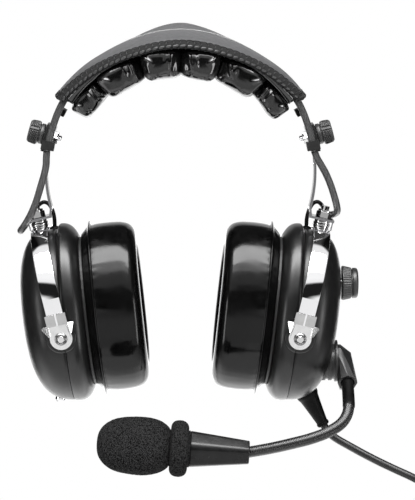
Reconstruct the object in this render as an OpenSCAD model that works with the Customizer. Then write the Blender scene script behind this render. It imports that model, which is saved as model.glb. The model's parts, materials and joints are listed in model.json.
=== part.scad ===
// Two-cup communication headset with a boom microphone.
// Millimetres. The origin is the middle of the head, halfway between the faces
// of the two ear cushions. +Z is up as worn, -Y is the way the wearer faces,
// and +X is the cup that carries the boom.

/* [Headband] */
// Middle radius of the spring strap over the head
band_r = 81.5; // [80:0.1:83]
// Height of the straps' centre above the origin
band_z = 82; // [78:1:86]
// Width of the spring strap and of the hanger straps
strap_w = 12; // [10:0.5:14]
// Thickness of the spring strap and of the hanger straps
strap_t = 1.2; // [0.8:0.1:1.6]
// Angle of each clamp above the horizontal through the straps' centre
clamp_a = 15.5; // [14:0.5:17]
// Half width of the head pad, front to back, in its middle
pad_half_w = 42; // [36:1:46]
// Half width of the head pad at its two ends
pad_end_w = 14; // [12:1:16]

/* [Yoke] */
// Distance of the cup pivots from the middle plane
pivot_x = 69.5; // [66:0.5:74]
// Height of the cup pivots
pivot_z = -11; // [-15:1:-7]
// Outward lean of the stirrups
lean = 13.5; // [11:0.5:15]
// Width of the stirrup strip
stirrup_w = 10; // [8:0.5:11]
// Distance from the pivots to the inside of the stirrup's top
stirrup_h = 60.4; // [60:0.2:63]
// Half width of the stirrup, front to back, to the strip's inner face
stirrup_half = 45.1; // [45.1:0.1:47]

/* [Ear cups] */
// Tilt of the cups, lower edge inward
cup_tilt = 6; // [4:0.5:7]
// Half height of the shell at its seam
shell_half_h = 51.75; // [50:0.25:52]
// Half width of the shell, front to back
shell_half_w = 40.6; // [38:0.2:41]
// Depth of the outer shell
shell_depth = 25.6; // [24:0.2:26]
// Wall of the shells
shell_wall = 2.4; // [2:0.1:3]
// Half height of the ear cushion
cushion_half_h = 50.2; // [48:0.2:51]
// Half width of the ear cushion, front to back
cushion_half_w = 40.2; // [38:0.2:41]
// Distance from the pivot axis to the face of the ear cushion
cushion_face = 48.2; // [46:0.2:50]

/* [Boom] */
// Height of the boom's swivel axis
boom_z = -31.6; // [-34:0.2:-30]
// Distance of the boom's swivel axis in front of the cup's middle
boom_y = 5; // [3:0.5:7]
// Radius of the gooseneck over its ribs
neck_r = 3.3; // [2.8:0.1:3.4]
// Number of ribs on the gooseneck
neck_ribs = 84; // [60:1:90]
// Radius of the foam windscreen
foam_r = 16.3; // [15:0.1:17]

/* [Cord and plugs] */
// Diameter of the main cord
cord_d = 4.8; // [4:0.1:5.2]
// Number of loops in the tied coil
coil_loops = 6; // [2:2:8]
// Radius of the headphone plug's shaft
phone_plug_r = 3.175; // [3.175:0.001:3.175]
// Radius of the microphone plug's shaft
mic_plug_r = 2.6; // [2.6:0.01:2.6]

/* [Hidden] */

black = [0.07, 0.07, 0.075];
soft_black = [0.04, 0.04, 0.045];
grey_hide = [0.22, 0.22, 0.225];
steel = [0.82, 0.82, 0.84];
satin = [0.66, 0.66, 0.67];

// ---- Straps: concentric bands about the axis through (0, 0, band_z) ----
strap_gap = 0.2;
hanger_r = band_r - strap_t - strap_gap;
strap_out = band_r + strap_t / 2;
strap_end_a = 10;          // the head strap ends this far above the horizontal
screw_r = 2;
pin_gap = 0.05;            // radial clearance of every hinge pin
hanger_low_a = -16;        // the hanger's band ends here, above its shelf
hanger_top_a = 28.2;
slot_low_a = 4.6;
slot_top_a = 20.4;
slot_half = 2.9;
plate_in = strap_out + 0.2;
plate_out = plate_in + 1.7;
knob_in = plate_out + 0.3;
knob_len = 9.2;

// ---- Head pad ----
pad_end_a = 57.5;          // from the vertical
pad_t = 1.6;
pad_top = [[0, 84.6], [12, 84.2], [19, 84], [26, 83.9], [34, 84.2], [44, 85.4], [pad_end_a, 86.9]];
pad_front = [[0, 79.9], [9, 79.6], [20, 79.4], [31, 80.4], [42, 82.2], [50, 83.6], [pad_end_a, 85.6]];
pad_rear = [[0, 89], [4.3, 88.3], [8.5, 87.1], [12.8, 85.6], [17, 84.1], [22, 82.3], [30, 80.7],
    [40, 80.2], [50, 81.2], [pad_end_a, 83.2]];
backing_r = 76.3;
pillow_top = 75.7;
pillow_a = [10.3, 30.9, 50.1];        // each pillow's middle, from the vertical
pillow_low = [57.6, 58.9, 62.4];      // radius of its lowest line
pillow_half = [36.5, 29, 18.8];       // its half width, front to back
pillow_len = [11.85, 11.85, 9.9];     // its half length along the band

// ---- Yoke, measured up the leaning axis from the pivots ----
strip_t = 1.2;
hoop_corner = 36;
washer_t = [1.4, 1.6, 1.6];
shelf_s = stirrup_h + strip_t + washer_t[0] + washer_t[1] + washer_t[2];
shelf_t = 1.4;
nut_h = 3.4;
bolt_r = 2.4;
plate_y = 43.9;            // back of the stirrup's end plates

// ---- Shells, in the cup's own frame: x outward, z up ----
seam_x = -1.5;
shell_mid = 6.75;
shell_power = 2.8;
oval = 2.15;               // power of the cups' oval outline
inner_half_h = 53.6;
inner_half_w = 41.4;
inner_crown_x = -4.5;      // the inner shell is fullest here, and level with the outer one at the seam
inner_depth = 14.6;
inner_power = 2.6;
inner_rim_x = -14;
boss_r = 9;
boss_y = 42.6;
around = 32;               // points round each oval
cushion_mid = 8.7;

// ---- Knobs and boom ----
volume_z = 15;
volume_x = 96.7;
collar_x = 92.6;
collar_r = 12.5;
boom_pin_r = 4;
socket_a = 121.4;          // the block's socket points this way round the X axis
mic_x = 5.3;
mic_y = -89;
mic_z = -65.6;
mic_up = 3.6;              // the microphone points up this much, towards the mouth

// The boom's centreline: out of the block, forward and across the mouth
boom_route = [[99.5, -12, -37.6], [99.4, -18, -41.2], [99.2, -30, -48.5],
    [98.6, -39, -53], [96.6, -47, -56.4], [92.3, -56, -59.2], [84, -66, -61.6],
    [74.4, -74, -63.2], [65, -79.2, -64.4], [52, -84, -66.2], [40, -86.4, -67.8], [35, -87.2, -68.2]];
neck_end = boom_route[len(boom_route) - 1];
neck_way = unit(neck_end - boom_route[len(boom_route) - 2]);

// The cable under the pad ends at this angle, in each clip
cable_end_a = 9.6;
cable_end_r = 80.2;
cable_y = -9.4;
cable_end = [cable_end_r * cos(cable_end_a), cable_y, band_z + cable_end_r * sin(cable_end_a)];
cable_down = [sin(cable_end_a), 0, -cos(cable_end_a)];

// Cable sleeves from each clip, in front of the swivel bolt, out round the hanger's shelf and back
// up behind it, on the +X side
left_turn_route = [cable_end, [79.4, -9.4, 91], [79.6, -9.4, 87], [80.6, -9.4, 82],
    [82.4, -9.4, 76], [84.2, -9.3, 70], [86.2, -9.1, 64], [88.8, -8.9, 58], [91.4, -8.5, 53.2],
    [93.6, -7.2, 49.8], [95.3, -3.6, 47.4], [95.8, 1.4, 46.6], [95.2, 6.4, 47.1], [93.8, 10.6, 48.8],
    [91.6, 13, 51.6], [89.4, 13.6, 55]];
right_turn_route = [cable_end, [80.8, -9.4, 91], [83.2, -9.4, 87], [86, -9.4, 82],
    [88.6, -9.2, 76], [90.7, -8.4, 70], [92.4, -6.6, 64.5], [93.4, -3.6, 60.4], [93.6, 0.2, 58],
    [93, 4, 56.6], [91.2, 7.6, 55.4], [88.9, 10, 54.4], [87, 11, 55.4]];
left_lead_route = [[89.4, 13.6, 55], [88, 13.4, 57.4], [85.8, 12.4, 60.6], [82.6, 11.2, 62.6],
    [79.4, 10.4, 61.4], [77.2, 9.6, 57.6], [76.1, 9.1, 52.8], [75.98, 9, 48.4]];
right_lead_route = [[87, 11, 55.4], [86.4, 11.4, 57.6], [85.4, 11.4, 60.6], [82.8, 11, 62.8],
    [79.8, 10.4, 61.8], [77.4, 9.6, 57.8], [76.1, 9.1, 52.8], [75.98, 9, 48.4]];

// The main cord: out of its boot and away to the side, then down to the coil
cord_route = [[87.4, 7, -73.8], [88.8, 7, -76.2], [91.4, 6.4, -79.4], [96, 5.4, -82.6],
    [103, 4.2, -86.4], [112, 3, -91.2], [122, 2, -96.2], [132, 1, -100.8], [141, 0, -104.8],
    [149, 0, -109.4], [156, 0, -116], [161, 0, -124], [164.4, 0, -133], [166.6, 0, -142],
    [168, 0, -152], [168.4, 0, -158], [168.4, 0, -164]];
coil_x = 129.4;
coil_z = -164;
coil_pitch = 5.6;
coil_out = 39;
coil_step = 24;            // rings in each loop
tail_route = [[168.4, 5.6, -164], [168.4, 5.6, -168.8], [168.4, 5.6, -176], [168.4, 5.6, -186]];
splitter_z = -186;
splitter_len = 26;
lead_len = 58;
lead_d = 3.6;
plug_x = 168.4;
plug_y = 5.6;
plug_gap = 9;              // half the distance between the two plugs

// ---- Frames ----
module mirrored(left) {
    if (left) mirror([1, 0, 0]) children();
    else children();
}

// x along a radius of the straps at angle a, z along the strap
module strap_frame(a) {
    translate([0, 0, band_z]) rotate([0, -a, 0]) children();
}

// z up the leaning axis of the stirrup
module yoke_frame() {
    translate([pivot_x, 0, pivot_z]) rotate([0, lean, 0]) children();
}

// x outward, z up, at the middle of the pivot axis
module cup_frame() {
    translate([pivot_x, 0, pivot_z]) rotate([0, cup_tilt, 0]) children();
}

// z along the microphone, from the housing to the windscreen's tip
module mic_frame() {
    translate([mic_x, mic_y, mic_z]) rotate([0, mic_up - 90, 0]) children();
}

// A cylinder along X from x0 to x1
module rod_x(r, x0, x1, fn = 64) {
    translate([x0, 0, 0]) rotate([0, 90, 0]) cylinder(r = r, h = x1 - x0, $fn = fn);
}

// A cylinder along Y from y0 to y1
module rod_y(r, y0, y1, fn = 64) {
    translate([0, y0, 0]) rotate([-90, 0, 0]) cylinder(r = r, h = y1 - y0, $fn = fn);
}

// A band of the straps' circle between two radii, two angles and two depths
module band(r0, r1, a0, a1, y0, y1) {
    translate([0, y1, band_z]) rotate([90, 0, 0]) rotate([0, 0, a0])
        rotate_extrude(angle = a1 - a0, $fn = 180)
            translate([r0, 0]) square([r1 - r0, y1 - y0]);
}

// ---- Skins ----
// Faces that join n rings of m points each into one closed solid
function ring_walls(n, m, wrap) = [for (i = [0 : n - (wrap ? 1 : 2)], j = [0 : m - 1])
    let (a = i * m, b = ((i + 1) % n) * m, k = (j + 1) % m)
    each [[a + j, b + j, b + k], [a + j, b + k, a + k]]];
function ring_cap(first, m, flip) = [for (j = [1 : m - 2])
    flip ? [first, first + j + 1, first + j] : [first, first + j, first + j + 1]];

// Rings run clockwise seen from the last ring towards the first
module skin(rings, wrap = false) {
    m = len(rings[0]);
    n = len(rings);
    points = [for (r = rings) each r];
    caps = wrap ? [] : concat(ring_cap(0, m, false), ring_cap((n - 1) * m, m, true));
    polyhedron(points = points, faces = concat(ring_walls(n, m, wrap), caps), convexity = 6);
}

function signed_pow(v, p) = (v < 0 ? -1 : 1) * pow(abs(v), p);

// An oval ring across the x axis, half widths hy and hz
function oval_ring(x, hy, hz, zc, count = around) = [for (i = [0 : count - 1])
    let (a = -360 * i / count)
    [x, hy * signed_pow(cos(a), 2 / oval), zc + hz * signed_pow(sin(a), 2 / oval)]];

// ---- Tubes along a route of points ----
function unit(v) = v / norm(v);
function way(p, i) = unit(p[min(i + 1, len(p) - 1)] - p[max(i - 1, 0)]);
function side_of(d, hint) = unit(cross(d, hint));

// A point on the smooth curve through the route, at step s of each span
function curve_point(p, i, s) =
    let (a = p[max(i - 1, 0)], b = p[i], c = p[i + 1], d = p[min(i + 2, len(p) - 1)])
    0.5 * ((2 * b) + (c - a) * s + (2 * a - 5 * b + 4 * c - d) * s * s
        + (3 * b - a - 3 * c + d) * s * s * s);
function smooth_route(p, steps) = concat(
    [for (i = [0 : len(p) - 2], k = [0 : steps - 1]) curve_point(p, i, k / steps)],
    [p[len(p) - 1]]);

// first and last, where given, are the directions that the two ends face
function tube_rings(p, r, sides, hint, first, last) = [for (i = [0 : len(p) - 1])
    let (d = i == 0 && first != undef ? first : i == len(p) - 1 && last != undef ? last : way(p, i),
        u = side_of(d, hint), v = cross(d, u))
    [for (j = [0 : sides - 1]) let (a = 360 * j / sides)
        p[i] + r[i] * (cos(a) * u + sin(a) * v)]];

module tube(p, d, sides = 8, hint = [0, 1, 0], first = undef, last = undef) {
    skin(tube_rings(p, [for (q = p) d / 2], sides, hint, first, last));
}

// ---- Headband ----
module head_strap() {
    color(steel) difference() {
        band(band_r - strap_t / 2, strap_out, strap_end_a, 180 - strap_end_a,
            -strap_w / 2, strap_w / 2);
        for (a = [clamp_a, 180 - clamp_a])
            strap_frame(a) rod_x(screw_r + 0.4, band_r - 3, band_r + 3, 48);
    }
}

function pad_half(t) = pad_end_w + (pad_half_w - pad_end_w) * (1 - pow(abs(t) / pad_end_a, 1.6));
function pad_r(t, v) = v < -0.1
    ? let (w = (-0.1 - v) / 0.9, r = lookup(t, pad_top))
        r - (r - lookup(t, pad_front)) * pow(w, 2) - 2.8 * pow(w, 12)
    : let (w = (v + 0.1) / 1.1, r = lookup(t, pad_top))
        r + (lookup(t, pad_rear) - r) * pow(w, 2) - 2.8 * pow(w, 12);
function pad_point(t, v, depth) = let (r = pad_r(abs(t), v) - depth)
    [r * sin(t), v * pad_half(t), band_z + r * cos(t)];
pad_rows = [-1, -0.94, -0.82, -0.6, -0.35, -0.1, 0.2, 0.5, 0.78, 0.94, 1];
function pad_ring(t) = concat([for (v = pad_rows) pad_point(t, v, 0)],
    [for (k = [len(pad_rows) - 1 : -1 : 0]) pad_point(t, pad_rows[k] * 0.985, pad_t)]);

module head_pad_cover() {
    steps = 22;
    color(grey_hide) skin([for (k = [steps : -1 : 0])
        pad_ring(-pad_end_a + 2 * pad_end_a * k / steps)]);
}

module cushion_backing() {
    color(soft_black) intersection() {
        band(pillow_top + 0.1, backing_r + 0.3, 35, 145, -40, 40);
        translate([0, 0, 100]) linear_extrude(height = 80)
            polygon([[-66, -10.2], [-40, -26], [-20, -33.6], [0, -35.6], [20, -33.6], [40, -26], [66, -10.2],
                [66, 10.2], [40, 26], [20, 33.6], [0, 35.6], [-20, 33.6], [-40, 26], [-66, 10.2]]);
    }
}

// One crowned pillow: full and square-shouldered, drawn in to a blunt edge at its ends
function pillow_ring(i, side, v) =
    let (top = pillow_top, low = pillow_low[i], mid = (top + low) / 2, h = (top - low) / 2,
        k = pow(1 - pow(abs(v), 5), 1 / 5) + 0.02)
    [for (j = [0 : 15]) let (a = 22.5 * j,
        r = mid + (h * (1 - k) * 0.35) + h * k * signed_pow(sin(a), 0.7),
        s = pillow_len[i] * (0.45 + 0.55 * k) * signed_pow(cos(a), 0.62),
        b = 90 - side * pillow_a[i] + s / mid * 180 / PI)
        [r * cos(b), v * pillow_half[i], band_z + r * sin(b)]];

module head_cushions() {
    rows = [-0.995, -0.95, -0.82, -0.55, -0.18, 0.18, 0.55, 0.82, 0.95, 0.995];
    color(soft_black) for (side = [-1, 1], i = [0 : 2])
        skin([for (v = rows) pillow_ring(i, side, v)]);
}

// Chrome channel behind the straps, with the nut that the clamp screw turns in
module clamp_guide(left) {
    lip_y = strap_w / 2 + 0.25;
    base_r = hanger_r - strap_t / 2 - 0.3;
    color(steel) mirrored(left) difference() {
        union() {
            band(base_r - 1, base_r, clamp_a - 4.4, clamp_a + 4.4, -lip_y, lip_y);
            for (y = [-lip_y - 0.8, lip_y])
                band(base_r - 1, strap_out, clamp_a - 4.4, clamp_a + 4.4, y, y + 0.8);
            strap_frame(clamp_a) rotate([30, 0, 0]) rod_x(4, base_r - 3.6, base_r - 0.9, 6);
        }
        strap_frame(clamp_a) rod_x(screw_r + pin_gap, base_r - 5, base_r + 5, 48);
    }
}

// Moulded friction plate under the knob, with the loop that holds the cable
module cable_clip(left) {
    loop_a = [10.2, 14];
    color(black) mirrored(left) difference() {
        union() {
            band(plate_in, plate_out, 9, 20.4, -7, 7);
            band(plate_in, plate_out, loop_a[0], loop_a[1], -13.2, -6.9);
            band(77.4, plate_in + 0.1, loop_a[0], loop_a[1], -13.2, -11.7);
            band(76.2, 77.5, loop_a[0], loop_a[1], -13.2, -6.6);
        }
        strap_frame(clamp_a) rod_x(screw_r + pin_gap, 79, 90, 48);
    }
}

module clamp_knob(left) {
    mid = knob_in + 2.6;
    color(black) mirrored(left) strap_frame(clamp_a) difference() {
        union() {
            rod_x(7, knob_in, mid, 64);
            translate([mid, 0, 0]) rotate([0, 90, 0])
                rotate_extrude($fn = 64) polygon([[0, 0], [6.6, 0], [6.2, knob_len - 3.6],
                    [5.4, knob_len - 2.6], [0, knob_len - 2.6]]);
            for (i = [0 : 17]) rotate([i * 20, 0, 0]) translate([mid, 0, 0])
                rotate([0, 88.5, 0]) translate([0, 6.35, 0])
                    cylinder(r = 0.62, h = knob_len - 3.4, $fn = 16);
        }
        rod_x(screw_r, knob_in - 1, knob_in + 6.5, 48);
    }
}

module clamp_screw(left) {
    color(steel) mirrored(left) strap_frame(clamp_a) rod_x(screw_r, 73.6, knob_in + 6.5, 48);
}

// Cable under the pad, with its ends through the two clips
function cross_r(a) = a > 90 ? cross_r(180 - a)
    : a < 16 ? cable_end_r
    : a < 34 ? cable_end_r + (1 - cos((a - 16) * 10)) / 2
    : a < 50 ? 79.6 + 1.6 * (1 + cos((a - 34) * 11.25)) / 2
    : 79.6;
module cross_cable() {
    steps = 44;
    points = [for (i = [0 : steps]) let (a = cable_end_a + (180 - 2 * cable_end_a) * i / steps)
        [cross_r(a) * cos(a), cable_y, band_z + cross_r(a) * sin(a)]];
    color([0.2, 0.2, 0.21]) tube(points, 4.2, 8, [0, 1, 0], -cable_down,
        [-cable_down[0], 0, cable_down[2]]);
}

// ---- Hangers ----
module hanger(left) {
    color(steel) mirrored(left) difference() {
        union() {
            band(hanger_r - strap_t / 2, hanger_r + strap_t / 2, hanger_low_a, hanger_top_a,
                -strap_w / 2, strap_w / 2);
            shelf();
        }
        band(hanger_r - 2, hanger_r + 2, slot_low_a, slot_top_a, 0.01 - slot_half, slot_half - 0.01);
        for (a = [slot_low_a, slot_top_a])
            strap_frame(a) rod_x(slot_half, hanger_r - 2, hanger_r + 2, 48);
        yoke_frame() translate([0, 0, shelf_s - 2]) cylinder(r = bolt_r, h = 5, $fn = 48);
    }
}

// The strap turns in, then folds out into the shelf over the stirrup
module shelf() {
    top = shelf_s + shelf_t;
    out = 6.6;
    w = strap_w - 0.02;
    translate([0, w / 2, 0]) rotate([90, 0, 0]) linear_extrude(height = w)
        polygon([strap_xz(hanger_r - 0.5, hanger_low_a + 1), strap_xz(hanger_r + 0.5, hanger_low_a + 1),
            yoke_xz(-7.2, top), yoke_xz(out, top), yoke_xz(out, shelf_s), yoke_xz(-8.6, shelf_s),
            yoke_xz(-8.6, top)]);
    yoke_frame() translate([out - 0.85, -1.6, stirrup_h + 0.5]) cube([0.84, 3.2, shelf_s - stirrup_h + 0.3]);
}

function strap_xz(r, a) = [r * cos(a), band_z + r * sin(a)];

// A point of the yoke's own frame as X and Z
function yoke_xz(x, s) = [pivot_x + x * cos(lean) + s * sin(lean), pivot_z - x * sin(lean) + s * cos(lean)];

module strap_cap(left) {
    a0 = 25.6;
    a1 = 28.6;
    color(soft_black) mirrored(left) difference() {
        band(76.9, band_r - strap_t / 2 - 0.1, a0, a1, -7, 7);
        band(hanger_r - strap_t / 2 - 0.03, hanger_r + strap_t / 2 + 0.03, a0 - 1, hanger_top_a + 0.01,
            -strap_w / 2 - 0.01, strap_w / 2 + 0.01);
    }
}

// Swivel bolt, its washers, nut and lock ring, each a separate solid
module swivel_bolt(left) {
    s1 = stirrup_h + strip_t;
    s2 = s1 + washer_t[0];
    s3 = s2 + washer_t[1];
    color(satin) mirrored(left) yoke_frame() {
        translate([0, 0, stirrup_h - 0.9]) cylinder(r = 4.2, h = 0.85, $fn = 48);
        translate([0, 0, stirrup_h - 0.2]) cylinder(r = bolt_r, h = 14.6, $fn = 48);
        washer(s1 + 0.05, 4.7, washer_t[0] - 0.1);
        washer(s2, 5, washer_t[1] - 0.1);
        washer(s3, 4.7, washer_t[2] - 0.1);
        translate([0, 0, shelf_s + shelf_t + 0.05]) difference() {
            cylinder(r = 4.6, h = nut_h, $fn = 6);
            translate([0, 0, -1]) cylinder(r = bolt_r + 0.02, h = nut_h + 2, $fn = 48);
        }
        washer(shelf_s + shelf_t + nut_h + 0.1, 3.9, 1.1);
    }
}

module washer(s, r, t) {
    translate([0, 0, s]) difference() {
        cylinder(r = r, h = t, $fn = 48);
        translate([0, 0, -1]) cylinder(r = bolt_r + 0.02, h = t + 2, $fn = 48);
    }
}

// The direction in which a sleeve hands over to its lead
function hand_over(turn, lead) = unit(lead[1] - turn[len(turn) - 2]);

module cable_turn(left) {
    turn = left ? left_turn_route : right_turn_route;
    lead = left ? left_lead_route : right_lead_route;
    color([0.2, 0.2, 0.21]) mirrored(left)
        tube(smooth_route(turn, 2), 4.2, 8, [0.4, 0.2, 1], cable_down, hand_over(turn, lead));
}

module cup_lead(left) {
    turn = left ? left_turn_route : right_turn_route;
    lead = left ? left_lead_route : right_lead_route;
    color(soft_black) mirrored(left)
        tube(smooth_route(lead, 3), 2.4, 8, [0, 1, 0], hand_over(turn, lead), [-sin(2), 0, -cos(2)]);
}

// ---- Stirrups ----
module hoop_outline(grow) {
    half = stirrup_half + grow;
    r = hoop_corner + grow;
    high = stirrup_h + grow;
    for (y = [-half + r, half - r]) translate([y, high - r]) circle(r = r, $fn = 128);
    translate([-half + r, 0]) square([2 * (half - r), high]);
    translate([-half, 0]) square([2 * half, high - r]);
}

module stirrup(left) {
    foot = 8.6;
    color(steel) mirrored(left) yoke_frame() difference() {
        translate([stirrup_w / 2, 0, 0]) rotate([90, 0, -90]) linear_extrude(height = stirrup_w)
            difference() {
                hoop_outline(strip_t);
                hoop_outline(0);
                translate([-60, -20]) square([120, foot + 20]);
            }
        translate([0, 0, stirrup_h - 1]) cylinder(r = bolt_r + pin_gap, h = 4, $fn = 48);
    }
}

// End plates with their crimped tabs, and the winged clip behind each
module stirrup_ends(left) {
    color(satin) mirrored(left) yoke_frame() for (front = [0, 1]) mirror([0, front, 0]) {
        difference() {
            union() {
                end_plate();
                wing_clip();
            }
            rod_y(screw_r + pin_gap, plate_y - 3, plate_y + 3, 48);
        }
        crimp();
    }
}

module plate_xz(y, t) {
    translate([0, y + t, 0]) rotate([90, 0, 0]) linear_extrude(height = t) children();
}

module end_plate() {
    plate_xz(plate_y, 1) {
        circle(r = 5.7, $fn = 64);
        polygon([[-5.7, 0], [5.7, 0], [4.7, 8.2], [6.1, 8.4],
            [6.1, 15.2], [-6.1, 15.2], [-6.1, 8.4], [-4.7, 8.2]]);
    }
}

module crimp() {
    strip_out = stirrup_half + strip_t;
    for (x = [-6.1, 5.15]) translate([x, plate_y + 1, 8.4]) cube([0.95, strip_out - plate_y - 0.9, 6.8]);
    for (x = [-6.1, 0.6]) translate([x, strip_out + 0.05, 8.4]) cube([5.5, 0.9, 6.8]);
}

module wing_clip() {
    plate_xz(plate_y - 0.9, 0.8) {
        circle(r = 6.6, $fn = 64);
        polygon([[-6.4, 1.6], [6.4, 1.6], [5.6, 8.6], [-5.6, 8.6]]);
    }
    for (side = [-1, 1]) translate([side * 5.5, plate_y - 0.9, 0]) rotate([0, 0, side * 28])
        plate_xz(0, 0.8) polygon([[-side * 0.4, 2.2], [side * 1.8, 2.2], [side * 4.8, 8.2],
            [side * 4.6, 8.8], [-side * 0.4, 8.8]]);
}

// ---- Cups ----
function shell_ring(t, wall) =
    let (k = pow(1 - pow(t, shell_power), 1 / shell_power), mid = shell_mid + 3 * t)
    oval_ring(seam_x + (shell_depth - wall) * t, (shell_half_w - wall) * k,
        (shell_half_h - wall) * k, mid);

module shell_form(wall) {
    skin([for (t = [0.999, 0.985, 0.95, 0.88, 0.76, 0.58, 0.34, 0.12, 0]) shell_ring(t, wall)]);
}

module pivot_bosses(grow) {
    for (y = [-boss_y, 33]) rod_y(boss_r + grow, y, y + boss_y - 33, 64);
}

module outer_shell(left) {
    color(black) mirrored(left) difference() {
        cup_frame() union() {
            difference() {
                shell_form(0);
                translate([-0.01, 0, 0]) shell_form(shell_wall);
            }
            difference() {
                pivot_bosses(0);
                translate([-20, -50, -20]) cube([20 + seam_x - 2, 100, 40]);
            }
        }
        cup_frame() rod_y(screw_r, -50, 50, 48);
        if (!left) translate([0, 0, volume_z]) rod_x(3.6, 80, 100, 48);
        if (!left) translate([0, -boom_y, boom_z]) rod_x(5, 70, 100, 48);
    }
}

function inner_ring(x, wall) = x > inner_crown_x
    ? let (f = pow((x - inner_crown_x) / (seam_x - inner_crown_x), 2))
        oval_ring(x, inner_half_w - wall + (shell_half_w - inner_half_w) * f,
            inner_half_h - wall + (shell_half_h - inner_half_h) * f, 8.1 + (shell_mid - 8.1) * f)
    : let (t = (inner_crown_x - x) / inner_depth, k = pow(1 - pow(t, inner_power), 1 / inner_power))
        oval_ring(x, (inner_half_w - wall) * k, (inner_half_h - wall) * k, 8.1 - 0.6 * t);

inner_steps = [seam_x, -2.5, -3.5, inner_crown_x, -7, -9.5, -12, inner_rim_x];

// The inner shell's outside as one solid form
module inner_form() {
    skin([for (x = inner_steps) inner_ring(x, 0)]);
}

module inner_shell(left) {
    outside = [for (i = [len(inner_steps) - 1 : -1 : 0]) inner_ring(inner_steps[i], 0)];
    inside = [for (x = inner_steps) inner_ring(x, shell_wall)];
    color(black) mirrored(left) cup_frame() difference() {
        skin(concat(inside, outside), true);
        pivot_bosses(0.05);
    }
}

module oval_face(hy, hz, zc) {
    polygon([for (p = oval_ring(0, hy, hz, zc, 48)) [p[1], p[2]]]);
}

module oval_plate(x0, x1, hy, hz, zc) {
    translate([x0, 0, 0]) rotate([90, 0, 90]) linear_extrude(height = x1 - x0) oval_face(hy, hz, zc);
}

// Baffle between shell and cushion: it closes the cup and holds the speaker
module seal_plate(left) {
    color(black) mirrored(left) cup_frame() difference() {
        union() {
            oval_plate(-15.8, inner_rim_x, 34.4, 44.6, 7.8);
            oval_plate(-18.6, -15.8, 31.5, 42.5, cushion_mid);
            oval_plate(inner_rim_x, -10.4, 29, 40, 7.8);
        }
        translate([0, 0, cushion_mid]) rod_x(20, -22, -8, 64);
        translate([0, 0, cushion_mid]) rod_x(23.6, -12.2, -8, 64);
    }
}

// Ear cushion: cone behind, thin sewn flange, crowned body, rounded face and open middle
module ear_cushion(left) {
    h = cushion_half_h;
    w = cushion_half_w;
    f = -cushion_face;
    profile = [[-15.9, h - 4.4, w - 4.4], [-19.6, h - 0.9, w - 0.9], [-20.7, h + 2.3, w + 1.5],
        [-21.3, h + 2.3, w + 1.5], [-22, h - 0.3, w - 0.3], [-30, h + 0.6, w + 0.5],
        [f + 8, h, w], [f + 3.8, h - 1.6, w - 1.6], [f + 1.3, h - 4.6, w - 4.6],
        [f, h - 9, w - 9], [f + 0.5, h - 13.4, w - 13.4], [f + 3.4, h - 16.4, w - 16.4],
        [f + 10, h - 17.6, w - 17.6], [-23, h - 17.2, w - 17.2], [-18.7, h - 16.6, w - 16.6],
        [-18.7, h - 7.2, w - 7.2], [-15.9, h - 7.2, w - 7.2]];
    color(soft_black) mirrored(left) cup_frame()
        skin([for (p = profile) oval_ring(p[0], p[2], p[1], cushion_mid)], true);
}

module ear_foam(left) {
    color([0.1, 0.1, 0.1]) mirrored(left) cup_frame()
        oval_plate(-22.4, -18.8, cushion_half_w - 17.9, cushion_half_h - 17.9, cushion_mid);
}

module speaker(left) {
    color(satin) mirrored(left) cup_frame() translate([-17.4, 0, cushion_mid]) rotate([0, 90, 0])
        rotate_extrude($fn = 64) polygon([[0, 0.6], [12, 0], [19.8, 0.6], [19.8, 5.3], [23.2, 5.3],
            [23.2, 6.8], [19, 6.8], [13, 9.4], [13, 14.6], [12, 15.6], [0, 15.6]]);
}

module pivot_studs(left) {
    color(steel) mirrored(left) cup_frame() for (front = [0, 1]) mirror([0, front, 0]) {
        rod_y(screw_r, 34, plate_y + 1.3, 48);
        difference() {
            rod_y(3.6, plate_y + 1.15, plate_y + 2.3, 64);
            rod_y(2.6, plate_y + 1.9, plate_y + 3, 64);
        }
        rod_y(2, plate_y + 1.2, plate_y + 2.7, 48);
    }
}

module lead_grommet(left) {
    color(soft_black) mirrored(left) difference() {
        translate([75.9, 9, 44]) rotate([0, 2, 0]) rotate_extrude($fn = 48)
            polygon([[0, 0], [3.1, 0], [3.1, 3.1], [2.7, 3.8], [1.7, 4.4], [0, 4.4]]);
        cup_frame() shell_form(0);
        cup_frame() inner_form();
    }
}

// Blanking screw where the other cup has its cord
module left_shell_screw() {
    color(steel) mirror([1, 0, 0]) difference() {
        translate([71.4, -1, -50]) rotate([0, 180 - 12, 0]) {
            cylinder(r = 3.3, h = 6.4, $fn = 48);
            translate([0, 0, 6.4]) cylinder(r1 = 2.7, r2 = 2.1, h = 1.5, $fn = 48);
        }
        cup_frame() shell_form(0);
    }
}

// ---- Volume control ----
module volume_control() {
    color(satin) translate([0, 0, volume_z]) {
        rod_x(8, 82.6, 90.8, 64);
        rod_x(3.55, 90.8, volume_x - 0.5, 48);
        rod_x(3, volume_x - 0.6, volume_x + 7, 48);
    }
}

module volume_knob() {
    color(black) translate([volume_x, 0, volume_z]) difference() {
        union() {
            rotate([0, 90, 0]) rotate_extrude($fn = 96) polygon([[0, 0], [10.2, 0], [9.1, 5.6],
                [8.9, 5.6], [9.1, 6.1], [9.1, 8.2], [8.6, 9.2], [7.4, 9.7], [0, 9.7]]);
            for (i = [0 : 29]) rotate([i * 12, 0, 0]) rotate([0, 90, 0]) rotate([11, 0, 0])
                translate([0, 10.15, 0]) cylinder(r = 0.6, h = 5.4, $fn = 16);
        }
        rod_x(3 + pin_gap, -1, 7.6, 48);
    }
}

// ---- Boom ----
module boom_axis() {
    translate([0, -boom_y, boom_z]) children();
}

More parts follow.
